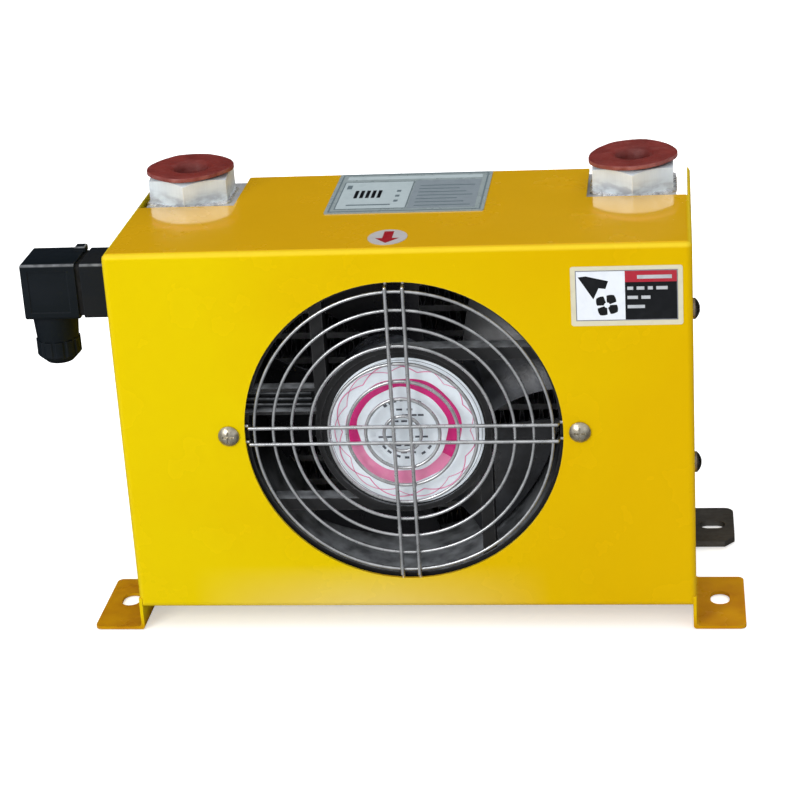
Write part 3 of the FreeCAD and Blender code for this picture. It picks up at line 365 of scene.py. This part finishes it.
def sheet_print(name, colour, second, roughness=0.35, metallic=0.0):
    """Printed film: an even ink that is very slightly worn and grained."""
    s = Surface(name, metallic, Specular_IOR_Level=0.25)
    tone_shift = s.spread(s.noise(0.004, 5.0, seed=1.0), 0.0, 0.8, 0.5, 0.8)
    s.set("Base Color", s.mix(tone_shift, colour, second))
    s.set("Roughness", s.spread(s.noise(0.006, 3.0, seed=2.0), roughness - 0.06, roughness + 0.1))
    s.relief((s.noise(0.008, 2.0, seed=3.0), 0.00006))
    return s.material


def rubber():
    """Matte black seal rubber, bloomed grey in places."""
    s = Surface("black_rubber", Specular_IOR_Level=0.15)
    bloom = s.spread(s.noise(0.004, 4.0), 0.0, 1.0)
    s.set("Base Color", s.mix(bloom, (0.005, 0.005, 0.005), (0.014, 0.014, 0.014)))
    s.set("Roughness", s.spread(s.noise(0.003, 3.0, seed=2.0), 0.6, 0.8))
    s.relief((s.noise(0.0008, 2.0, seed=3.0), 0.00006))
    return s.material


def floor_material():
    """Pale paper sweep that glows a little towards the camera, like a lit table."""
    s = Surface("pale_floor", Specular_IOR_Level=0.1)
    s.set("Base Color", s.mix(s.noise(0.4, 2.0), (0.92, 0.92, 0.92), (0.90, 0.90, 0.905)))
    s.set("Roughness", s.spread(s.noise(0.2, 2.0, seed=2.0), 0.75, 0.85))
    s.set("Emission Color", (1.0, 1.0, 1.0, 1.0))
    seen = s.node("ShaderNodeLightPath").outputs["Is Camera Ray"]
    s.set("Emission Strength", s.math("MULTIPLY", seen, 0.45))
    return s.material


def finishes():
    """The CAD nodes of each material."""
    core = machined_aluminium("brazed_aluminium", (0.66, 0.67, 0.69), (0.44, 0.45, 0.47), (1, 1, 8),
                              (0.35, 0.55), 0.4)
    # the fins are a darker aluminium than the core: painted shade inside the core
    fins = machined_aluminium("fin_aluminium", (0.30, 0.31, 0.33), (0.20, 0.21, 0.23), (1, 8, 1),
                              (0.3, 0.5), 0.5)
    # the lugs are a dark brownish aluminium: painted shade, as they sit low in shadow
    lug = machined_aluminium("lug_aluminium", (0.12, 0.11, 0.095), (0.07, 0.063, 0.053), (8, 1, 1),
                             (0.4, 0.6), 0.7)
    zinc = plated_steel("zinc_plate", (0.72, 0.70, 0.66), (0.52, 0.49, 0.43))
    steel = plated_steel("ground_steel", (0.70, 0.70, 0.71), (0.52, 0.52, 0.53), (0.15, 0.3))
    return {
        yellow_paint(): ["fan_shroud"],
        core: ["core_tank_left", "core_tank_right", "tank_end_caps", "core_plates", "oil_tubes"],
        fins: ["cooling_fins"],
        port_aluminium(): ["port_boss_left", "port_boss_right"],
        lug: ["rear_lug_left", "rear_lug_right"],
        black_casting("black_casting", (0.009, 0.009, 0.010)): ["fan_frame"],
        black_casting("rotor_paint", (0.016, 0.016, 0.017)): ["rotor_cup"],
        blade_plastic(): ["impeller_blades"],
        plated_steel("electrical_steel", (0.45, 0.46, 0.48), (0.30, 0.30, 0.33)): ["stator", "rotor_ring"],
        plated_steel("copper_wire", (0.75, 0.30, 0.14), (0.52, 0.19, 0.08)): ["stator_windings"],
        steel: ["motor_bearings", "motor_shaft"],
        guard_chrome("plated_wire"): ["finger_guard"],
        sheet_print("white_label", (0.80, 0.87, 0.93), (0.72, 0.79, 0.85)): ["fan_label"],
        moulded_black("cable_sheath", (0.020, 0.020, 0.020)): ["fan_leads"],
        moulded_black("moulded_black", (0.004, 0.007, 0.010)): ["plug_housing", "gland_nut"],
        moulded_black("base_moulding", (0.011, 0.012, 0.014)): ["connector_base"],
        sheet_print("grey_insulator", (0.22, 0.22, 0.22), (0.16, 0.16, 0.16)): ["terminal_block"],
        rubber(): ["base_gasket", "plug_gasket", "gland_seal"],
        plated_steel("brass", (0.80, 0.58, 0.22), (0.58, 0.40, 0.14)): ["contact_pins"],
        zinc: ["core_brackets", "base_screws", "base_nuts", "plug_screw", "guard_nuts", "side_nuts"],
        plated_steel("yellowed_zinc", (0.62, 0.57, 0.46), (0.36, 0.31, 0.22)): ["guard_screws"],
        plated_steel("dull_zinc", (0.42, 0.37, 0.30), (0.25, 0.21, 0.16)): ["side_screws"],
        sheet_print("sticker_cream", (0.68, 0.64, 0.47), (0.62, 0.57, 0.40)): ["front_sticker"],
        sheet_print("plate_silver", (0.33, 0.39, 0.40), (0.27, 0.33, 0.34), 0.3, 0.2): ["name_plate"],
        sheet_print("arrow_sticker_grey", (0.44, 0.42, 0.42), (0.36, 0.34, 0.34)): ["airflow_sticker"],
    }


def paint_cad_nodes():
    for material, nodes in finishes().items():
        for node in nodes:
            slots = NODES[node].data.materials
            slots.clear()
            slots.append(material)


# ---------------------------------------------------------------- pieces: helpers
def polar(radius, angle):
    """Point of a flat drawing, from degrees."""
    turn = math.radians(angle)
    return radius * math.cos(turn), radius * math.sin(turn)


def add_piece(name, mesh, material, body):
    piece = bpy.data.objects.new(name, mesh)
    bpy.context.scene.collection.objects.link(piece)
    mesh.materials.append(material)
    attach(piece, body)
    return piece


def finish_mesh(name, shape, smooth):
    bmesh.ops.recalc_face_normals(shape, faces=shape.faces)
    for face in shape.faces:
        face.smooth = smooth
    mesh = bpy.data.meshes.new(name)
    shape.to_mesh(mesh)
    shape.free()
    return mesh


def add_grid(shape, rows, closed=False):
    """Skins rings that have the same number of points; closed also joins the last ring to the first."""
    rings = [[shape.verts.new(point) for point in row] for row in rows]
    pairs = list(zip(rings, rings[1:]))
    if closed:
        pairs.append((rings[-1], rings[0]))
    count = len(rings[0])
    for first, second in pairs:
        for i in range(count):
            j = (i + 1) % count
            shape.faces.new((first[i], first[j], second[j], second[i]))
    return rings


def add_ends(shape, rings):
    shape.faces.new(rings[0])
    shape.faces.new(rings[-1])


class Print:
    """Flat drawing in millimetres on a surface, laid as a film of ink that stands off by its thickness."""

    def __init__(self, origin, right, up):
        self.origin, self.right, self.up = Vector(origin), Vector(right), Vector(up)
        self.normal = self.right.cross(self.up)

    def point(self, place, lift):
        return self.origin + (self.right * place[0] + self.up * place[1] + self.normal * lift) * MM

    def film(self, name, material, slot, patches=(), bands=(), level=1):
        """patches are outlines; a band is skinned between two lines of points."""
        shape = bmesh.new()
        low, high = (level - 1) * INK, level * INK
        for outline in patches:
            rows = [[self.point(place, lift) for place in outline] for lift in (low, high)]
            add_ends(shape, add_grid(shape, rows))
        for first, second in bands:
            rows = [[self.point(a, low), self.point(a, high), self.point(b, high), self.point(b, low)]
                    for a, b in zip(first, second)]
            rings = add_grid(shape, rows)
            if (rows[0][0] - rows[-1][0]).length > SAME_POINT:
                add_ends(shape, rings)
        bmesh.ops.remove_doubles(shape, verts=shape.verts, dist=SAME_POINT)
        return add_piece(name, finish_mesh(name, shape, False), material, "housing")


def rectangle(x0, x1, y0, y1):
    return [(x0, y0), (x1, y0), (x1, y1), (x0, y1)]


def frame_line(x0, x1, y0, y1, width):
    """Rectangular outline of this width, as one band."""
    outer = rectangle(x0, x1, y0, y1)
    inner = rectangle(x0 + width, x1 - width, y0 + width, y1 - width)
    return outer + outer[:1], inner + inner[:1]


def arc_line(radius, angles, centre):
    """Points at this radius, which is a number or a function of the angle."""
    line = []
    for angle in angles:
        x, y = polar(radius(angle) if callable(radius) else radius, angle)
        line.append((centre[0] + x, centre[1] + y))
    return line


def arc_band(inner, outer, start=0, end=360, steps=96, centre=(0, 0)):
    """Band between two radii."""
    angles = [start + (end - start) * i / steps for i in range(steps + 1)]
    return arc_line(inner, angles, centre), arc_line(outer, angles, centre)


# ---------------------------------------------------------------- pieces: prints
def rotor_tip(angle):
    """Rounded tips of four blades, the middle of the first at 56 degrees."""
    return 5.6 - 0.034 * abs((angle - 11) % 90 - 45)


def print_front_sticker(inks):
    """White and black fields with a plain rotor mark, a red bar and rows of plain dashes."""
    low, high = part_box("front_sticker")
    width, height = (high.x - low.x) / MM, (high.z - low.z) / MM
    art = Print((low.x, low.y, low.z), (1, 0, 0), (0, 0, 1))
    x0, x1, y0, y1 = 2.2, width - 2.2, 2.4, height - 1.9
    middle, bar = x0 + 0.485 * (x1 - x0), y1 - 0.24 * (y1 - y0)
    art.film("sticker_white_field", inks["white"], "sticker_vinyl", [rectangle(x0, middle, y0, y1)])
    art.film("sticker_black_field", inks["black"], "sticker_vinyl", [rectangle(middle, x1, y0, bar)])
    art.film("sticker_red_bar", inks["red"], "sticker_vinyl", [rectangle(middle, x1, bar, y1)])
    art.film("sticker_outline", inks["grey"], "sticker_vinyl",
             bands=[frame_line(x0, x1, y0, y1, 0.4)], level=2)
    centre = (x0 + 0.63 * (middle - x0), y0 + 0.31 * (y1 - y0))
    blades = [arc_band(1.3, rotor_tip, 90 * blade + 20, 90 * blade + 92, 12, centre) for blade in range(4)]
    wedge = [(x0 + 1.2, y1 - 3.0), (x0 + 4.6, y1 - 2.6), (x0 + 14.5, y1 - 5.0), (x0 + 13.2, y1 - 8.6),
             (x0 + 10.2, y1 - 8.2), (x0 + 7.8, y1 - 13.4)]
    art.film("sticker_rotor_mark", inks["black"], "sticker_vinyl", [wedge], blades, level=2)
    dashes = []
    for row, lengths in enumerate(((2.6, 3.4, 2.2, 5.0), (4.6, 4.0), (7.6,))):
        x, z = middle + 1.0, bar - 3.6 - 4.3 * row
        for length in lengths:
            dashes.append(rectangle(x, x + length, z, z + 1.5))
            x += length + 1.5
    dashes.append(rectangle(middle + 5.4, x1 - 2.6, bar + 1.5, bar + 3.2))
    art.film("sticker_dashes", inks["pale"], "sticker_vinyl", dashes, level=2)


def print_name_plate(inks):
    """Silver plate: thin outlines, a pale field of plain dark bars and a shaded field of short rules."""
    low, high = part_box("name_plate")
    width, depth = (high.x - low.x) / MM, (high.y - low.y) / MM
    art = Print((low.x, low.y, high.z), (1, 0, 0), (0, 1, 0))
    split, head = 0.50 * width, depth - 13.0
    art.film("plate_pale_field", inks["plate_white"], "plate_aluminium",
             [rectangle(4.5, split, 6.0, head - 1.5)])
    art.film("plate_shaded_field", inks["plate_shade"], "plate_aluminium",
             [rectangle(split + 1.0, width - 4.5, 5.0, head)])
    art.film("plate_head_strip", inks["plate_white"], "plate_aluminium",
             [rectangle(4.5, width - 4.5, head + 3.0, depth - 5.0)])
    outlines = [frame_line(1.6, width - 1.6, 1.6, depth - 1.6, 0.7),
                frame_line(4.0, split + 0.5, 5.5, head - 1.0, 0.5)]
    art.film("plate_outlines", inks["plate_line"], "plate_aluminium", bands=outlines, level=2)
    bars = [rectangle(x, x + 1.7, 23.0, 35.0) for x in (11.0, 13.8, 16.6, 19.4, 22.2)]
    art.film("plate_dark_bars", inks["black"], "plate_aluminium", bars, level=2)
    rules = [rectangle(split + 4.0, width - 7.0 - 3.5 * (row % 3), 8.5 + 5.4 * row, 9.8 + 5.4 * row)
             for row in range(7)]
    rules += [rectangle(31.0, 33.0, 16.0 + 8.0 * row, 19.0 + 8.0 * row) for row in range(3)]
    rules += [rectangle(6.0, 8.4, 38.0, 44.0), rectangle(9.0, 30.0, 11.0, 12.6)]
    art.film("plate_rules", inks["plate_line"], "plate_aluminium", rules, level=2)


def print_airflow_arrow(inks):
    """Arrow towards the front of the cooler."""
    low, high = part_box("airflow_sticker")
    art = Print(((low.x + high.x) / 2, (low.y + high.y) / 2, high.z), (1, 0, 0), (0, 1, 0))
    arrow = [(0, -8.6), (5.4, -1.6), (2.2, -1.6), (2.2, 8.2), (-2.2, 8.2), (-2.2, -1.6), (-5.4, -1.6)]
    art.film("airflow_arrow", inks["dark_red"], "arrow_vinyl", [arrow])


def brush_outer(angle):
    turn = math.radians(angle)
    return 26.4 + 0.8 * math.sin(2 * turn + 0.6) + 0.35 * math.sin(7 * turn)


def brush_inner(angle):
    turn = math.radians(angle)
    return 20.9 + 0.6 * math.sin(turn - 0.6) + 0.4 * math.sin(5 * turn) + 0.2 * math.sin(9 * turn)


def wave(phase, width):
    """Thin line that swings in and out round the label."""
    def inner(angle):
        return 29.4 + 3.6 * abs(math.cos(math.radians(3.5 * angle + phase)))

    def outer(angle):
        return inner(angle) + width

    return arc_band(inner, outer, steps=240)


def print_fan_label(inks):
    """Brush-stroke ring, soft waves and plain ticks and dashes."""
    low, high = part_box("fan_label")
    art = Print(((low.x + high.x) / 2, low.y, (low.z + high.z) / 2), (1, 0, 0), (0, 0, 1))
    middle = (-1.2, 0.2)
    art.film("label_brush_bright", inks["magenta"], "label_paper",
             bands=[arc_band(brush_inner, brush_outer, -32, 196, centre=middle)])
    art.film("label_brush_pale", inks["pink"], "label_paper",
             bands=[arc_band(brush_inner, brush_outer, 196, 328, centre=middle)])
    art.film("label_waves", inks["pink"], "label_paper", bands=[wave(0, 0.5), wave(90, 0.35)], level=2)
    art.film("label_rim", inks["grey"], "label_paper", bands=[arc_band(35.0, 35.25)])
    ticks = [arc_band(15.0, 16.6, angle, angle + 6.0, 3) for angle in (62, 72, 80, 92, 104, 112, 122)]
    ticks += [arc_band(12.6, 13.7, angle, angle + 9.0, 3) for angle in (212, 226, 246, 264, 300, 318)]
    lines = {10.4: (-4.0, 0.8), 7.6: (-1.4, 2.6, 5.8), 4.6: (-6.0, -2.0, 2.4), -3.2: (-13.0, -9.4, 4.0, 7.2),
             -7.4: (-5.4, -1.2, 2.6), -11.0: (-3.0, 1.2)}
    dashes = [rectangle(x, x + 2.7, z, z + 0.9) for z, starts in lines.items() for x in starts]
    art.film("label_ticks", inks["dark_grey"], "label_paper", dashes, ticks, level=2)


# ---------------------------------------------------------------- pieces: caps and welds
def cap_profile(flange_r):
    """(radius, height above the port) from the middle of the well out, over the flange and down the stem."""
    return [(0.0, -3.3), (5.6, -3.5), (7.2, -3.0), (7.9, -1.0), (8.6, 0.9), (9.6, 1.7), (11.0, 2.05),
            (13.5, 2.2), (16.5, 2.15), (flange_r - 1.2, 2.4), (flange_r - 0.5, 2.4),
            (flange_r - 0.12, 2.25), (flange_r, 1.95), (flange_r, 1.7), (flange_r, 0.45),
            (flange_r - 0.12, 0.2), (flange_r - 0.5, 0.08), (15.0, 0.1), (13.4, -0.3), (13.4, -4.2),
            (12.4, -4.9), (0.0, -5.0)]


def make_cap(side, material, lean, sag_at, sag, lift):
    """Soft plug, pressed in by hand: it leans, one side of the flange sags, and its rim waves a little."""
    low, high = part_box(f"port_cap_{side}")
    centre = Vector(((low.x + high.x) / 2, (low.y + high.y) / 2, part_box(f"port_boss_{side}")[1].z))
    flange_r = (high.x - low.x) / 2 / MM
    rows = []
    for radius, height in cap_profile(flange_r):
        row = []
        for step in range(CAP_STEPS):
            angle = 360 / CAP_STEPS * step
            x, y = polar(radius, angle)
            share = max(0.0, (radius - CAP_WELL_RADIUS) / (flange_r - CAP_WELL_RADIUS))
            away = math.radians(angle - sag_at)
            ripple = 0.25 * math.sin(3 * away + 1.0) + 0.18 * noise.noise(Vector((x, y, 5.0)) * 0.15)
            rise = lift + lean[0] * x + lean[1] * y + share * ripple
            rise -= sag * share ** 2 * max(0.0, math.cos(away)) ** 2
            rim = 1 + 0.012 * share * math.sin(2 * away + 0.5) + 0.01 * share * math.sin(5 * away)
            if height < 0.0:
                rise = max(0.0, rise) * CAP_STEM_SHARE
            row.append(centre + Vector((x * rim, y * rim, height + rise)) * MM)
        rows.append(row)
    shape = bmesh.new()
    add_grid(shape, rows)
    bmesh.ops.remove_doubles(shape, verts=shape.verts, dist=SAME_POINT)
    name = f"soft_cap_{side}"
    piece = add_piece(name, finish_mesh(name, shape, True), material, f"port_cap_{side}")
    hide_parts(f"port_cap_{side}")


def bead(name, path, radius, material, closed=True):
    """Weld bead along a path of points in metres: overlapping ripples of a slightly changing width."""
    count = len(path)
    rows = []
    for i, place in enumerate(path):
        before = path[i - 1] if closed or i else place
        after = path[(i + 1) % count] if closed or i < count - 1 else place
        ahead = (after - before).normalized()
        side = ahead.orthogonal().normalized()
        other = ahead.cross(side)
        ripple = 0.86 + 0.14 * abs(math.sin(i * 0.9))
        size = radius * ripple * (1 + 0.22 * noise.noise(place * 180))
        taper = 1 if closed else min(1.0, (min(i, count - 1 - i) + 0.4) / 3)
        row = []
        for step in range(BEAD_SIDES):
            across, over = polar(size * taper, 360 / BEAD_SIDES * step)
            row.append(place + (side * across + other * over * BEAD_FLATNESS) * MM)
        rows.append(row)
    shape = bmesh.new()
    rings = add_grid(shape, rows, closed)
    if not closed:
        add_ends(shape, rings)
    return add_piece(name, finish_mesh(name, shape, True), material, "housing")


def straight(start, end):
    start, end = Vector(start), Vector(end)
    count = max(2, round((end - start).length / (BEAD_STEP * MM)))
    return [start.lerp(end, i / count) for i in range(count + 1)]


def port_weld(side, material):
    """Fillet weld round the foot of a hexagonal port."""
    low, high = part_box(f"port_boss_{side}")
    tank_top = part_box("tank_end_caps")[1].z
    centre = Vector(((low.x + high.x) / 2, (low.y + high.y) / 2, tank_top + PORT_BEAD_LIFT * MM))
    reach = (high.y - low.y) / 2 + PORT_BEAD_REACH * MM
    corners = [centre + Vector((*polar(reach, 60 * i + 90), 0)) for i in range(6)]
    path = []
    for first, second in zip(corners, corners[1:] + corners[:1]):
        path += straight(first, second)[:-1]
    bead(f"port_weld_{side}", path, PORT_BEAD, material)


def seam_welds(material):
    """Beads down the seams between the tanks and the core, and across the back of each tank at its two end
    caps.
    """
    tank_low, tank_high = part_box("core_tank_right")
    core_low, core_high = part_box("core_plates")
    for side, x in (("left", core_low.x), ("right", core_high.x)):
        for face, y in (("front", tank_low.y), ("rear", tank_high.y)):
            path = straight((x, y, core_low.z + SEAM_INSET * MM), (x, y, core_high.z - SEAM_INSET * MM))
            bead(f"seam_{side}_{face}", path, SEAM_BEAD, material, closed=False)
        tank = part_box(f"core_tank_{side}")
        for end, z in (("low", tank[0].z), ("high", tank[1].z)):
            x0, x1 = tank[0].x + END_INSET * MM, tank[1].x - END_INSET * MM
            path = straight((x0, tank_high.y, z), (x1, tank_high.y, z))
            bead(f"cap_seam_{side}_{end}", path, END_BEAD, material, closed=False)


def lug_welds(material):
    """Beads where each lug's web stands on its plate."""
    for side, sign in (("left", -1), ("right", 1)):
        low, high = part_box(f"rear_lug_{side}")
        inner = high.x if sign < 0 else low.x
        x, y1 = inner + sign * LUG_WEB_INSET * MM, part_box("core_plates")[1].y
        z = LUG_THICK * MM
        path = straight((x, low.y + LUG_INSET * MM, z), (x, y1 - LUG_INSET * MM, z))
        bead(f"lug_weld_{side}", path, LUG_BEAD, material, closed=False)


def add_nugget(shape, place):
    made = bmesh.ops.create_icosphere(shape, subdivisions=2, radius=NUGGET_RADIUS * MM)
    for vert in made["verts"]:
        swell = 1 + 0.25 * noise.noise(place * 900 + vert.co * 900)
        vert.co = place + Vector((vert.co.x * swell, vert.co.y * NUGGET_FLATNESS, vert.co.z * swell))


def guard_nuggets(material):
    """Resistance welds where every ring crosses the spoke wires."""
    low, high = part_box("finger_guard")
    centre_x, centre_z = (low.x + high.x) / 2, (low.z + high.z) / 2
    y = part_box("fan_shroud")[0].y + GUARD_CROSSING_Y * MM
    shape = bmesh.new()
    for radius in GUARD_RINGS:
        along = math.sqrt(radius ** 2 - GUARD_GAP ** 2)
        crossings = ((along, GUARD_GAP), (GUARD_GAP, along))
        for (a, b), sign_a, sign_b in itertools.product(crossings, (-1, 1), (-1, 1)):
            add_nugget(shape, Vector((centre_x + sign_a * a * MM, y, centre_z + sign_b * b * MM)))
    add_piece("guard_weld_nuggets", finish_mesh("guard_weld_nuggets", shape, True), material,
              "housing")


def make_pieces():
    inks = {name: sheet_print(f"ink_{name}", *colours) for name, colours in INKS.items()}
    print_front_sticker(inks)
    print_name_plate(inks)
    print_airflow_arrow(inks)
    print_fan_label(inks)
    red = red_plastic()
    make_cap("left", red, lean=(-0.008, 0.012), sag_at=-35, sag=-0.9, lift=0.4)
    make_cap("right", red, lean=(0.006, 0.02), sag_at=190, sag=1.3, lift=1.3)
    weld = weld_metal()
    port_weld("left", weld)
    port_weld("right", weld)
    seam_welds(weld)
    lug_welds(weld)
    guard_nuggets(guard_chrome("weld_nugget"))


# ---------------------------------------------------------------- stage
def make_floor():
    mesh = bpy.data.meshes.new("floor")
    mesh.from_pydata(
        [Vector((*corner, 0)) * FLOOR_HALF for corner in ((-1, -1), (1, -1), (1, 1), (-1, 1))],
        [], [(0, 1, 2, 3)])
    floor = bpy.data.objects.new("floor", mesh)
    bpy.context.scene.collection.objects.link(floor)
    floor.data.materials.append(floor_material())
    floor.location.z = -FLOOR_DROP
    floor.visible_glossy = False


def ramp(tree, source, start, end, low, high):
    made = tree.nodes.new("ShaderNodeMapRange")
    tree.links.new(source, made.inputs["Value"])
    for key, value in {"From Min": start, "From Max": end, "To Min": low, "To Max": high}.items():
        made.inputs[key].default_value = value
    return made.outputs[0]


def combine(tree, operation, first, second):
    made = tree.nodes.new("ShaderNodeMath")
    made.operation = operation
    tree.links.new(first, made.inputs[0])
    tree.links.new(second, made.inputs[1])
    return made.outputs[0]


def make_world():
    """White to the camera; to the surfaces a soft studio, bright in front and overhead, dark behind.

    The light from overhead is weaker in reflections, so that gloss doesn't wash the colours out from above.
    """
    world = bpy.data.worlds.new("studio")
    world.use_nodes = True
    tree = world.node_tree
    tree.nodes.clear()
    add, link = tree.nodes.new, tree.links.new
    split = add("ShaderNodeSeparateXYZ")
    link(add("ShaderNodeTexCoord").outputs["Generated"], split.inputs[0])
    front = ramp(tree, split.outputs["Y"], -0.75, 0.25, 0.68, 0.015)
    level = ramp(tree, split.outputs["Z"], -0.6, 0.05, 0.75, 1.0)
    left = ramp(tree, split.outputs["X"], -0.7, 0.9, 1.15, 0.55)
    rays = add("ShaderNodeLightPath").outputs
    above = combine(tree, "MULTIPLY", ramp(tree, split.outputs["Z"], 0.60, 0.88, 0.0, 1.15),
                    ramp(tree, rays["Is Glossy Ray"], 0.0, 1.0, 1.0, 0.3))
    lit = combine(tree, "MULTIPLY", combine(tree, "MULTIPLY", front, level), left)
    soft, pale = add("ShaderNodeBackground"), add("ShaderNodeBackground")
    link(combine(tree, "ADD", lit, above), soft.inputs["Strength"])
    soft.inputs["Color"].default_value = (0.97, 0.985, 1.0, 1)
    pale.inputs["Color"].default_value = (1.0, 1.0, 1.0, 1)
    chosen = add("ShaderNodeMixShader")
    link(rays["Is Camera Ray"], chosen.inputs["Fac"])
    link(soft.outputs[0], chosen.inputs[1])
    link(pale.outputs[0], chosen.inputs[2])
    link(chosen.outputs[0], add("ShaderNodeOutputWorld").inputs["Surface"])
    bpy.context.scene.world = world


def area_light(name, place, aim, size, watts, mirrored=True):
    """Soft lamp; one that isn't mirrored lights surfaces without being seen in their gloss."""
    light = bpy.data.lights.new(name, "AREA")
    light.size, light.energy = size, watts
    lamp = bpy.data.objects.new(name, light)
    lamp.location = place
    lamp.visible_glossy = mirrored
    lamp.rotation_mode = "QUATERNION"
    lamp.rotation_quaternion = (Vector(aim) - Vector(place)).to_track_quat("-Z", "Y")
    bpy.context.scene.collection.objects.link(lamp)


def make_lights():
    middle = (0, -0.04, 0.10)
    area_light("key", (-0.9, -1.5, 0.9), middle, 0.8, 13)
    area_light("fill", (1.2, -1.2, 0.7), middle, 1.2, 2)
    area_light("back", (0.4, 1.5, 1.3), middle, 1.4, 22, mirrored=False)


def make_camera():
    """Camera about a point above the fan's axis on the front panel, turned a little on its own axis."""
    guard_low, guard_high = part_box("finger_guard")
    axis_z = (guard_low.z + guard_high.z) / 2
    aim = Vector((CAMERA_AIM_RIGHT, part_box("fan_shroud")[0].y, axis_z + CAMERA_AIM_UP))
    azimuth, elevation = math.radians(CAMERA_AZIMUTH), math.radians(CAMERA_ELEVATION)
    back = Vector((math.sin(azimuth) * math.cos(elevation), -math.cos(azimuth) * math.cos(elevation),
                   math.sin(elevation)))
    level = Vector((0, 0, 1)).cross(back).normalized()
    upright = back.cross(level)
    roll = math.radians(CAMERA_ROLL)
    right = level * math.cos(roll) + upright * math.sin(roll)
    up = upright * math.cos(roll) - level * math.sin(roll)
    data = bpy.data.cameras.new("camera")
    data.lens, data.sensor_width = CAMERA_LENS, 36
    data.shift_x, data.shift_y = CAMERA_SHIFT
    camera = bpy.data.objects.new("camera", data)
    turned = Matrix((right, up, back)).transposed().to_4x4()
    camera.matrix_world = Matrix.Translation(aim + back * CAMERA_DISTANCE) @ turned
    bpy.context.scene.collection.objects.link(camera)
    bpy.context.scene.camera = camera


paint_cad_nodes()
make_pieces()
make_floor()
make_world()
make_lights()
make_camera()
bpy.context.scene.view_settings.view_transform = "Standard"
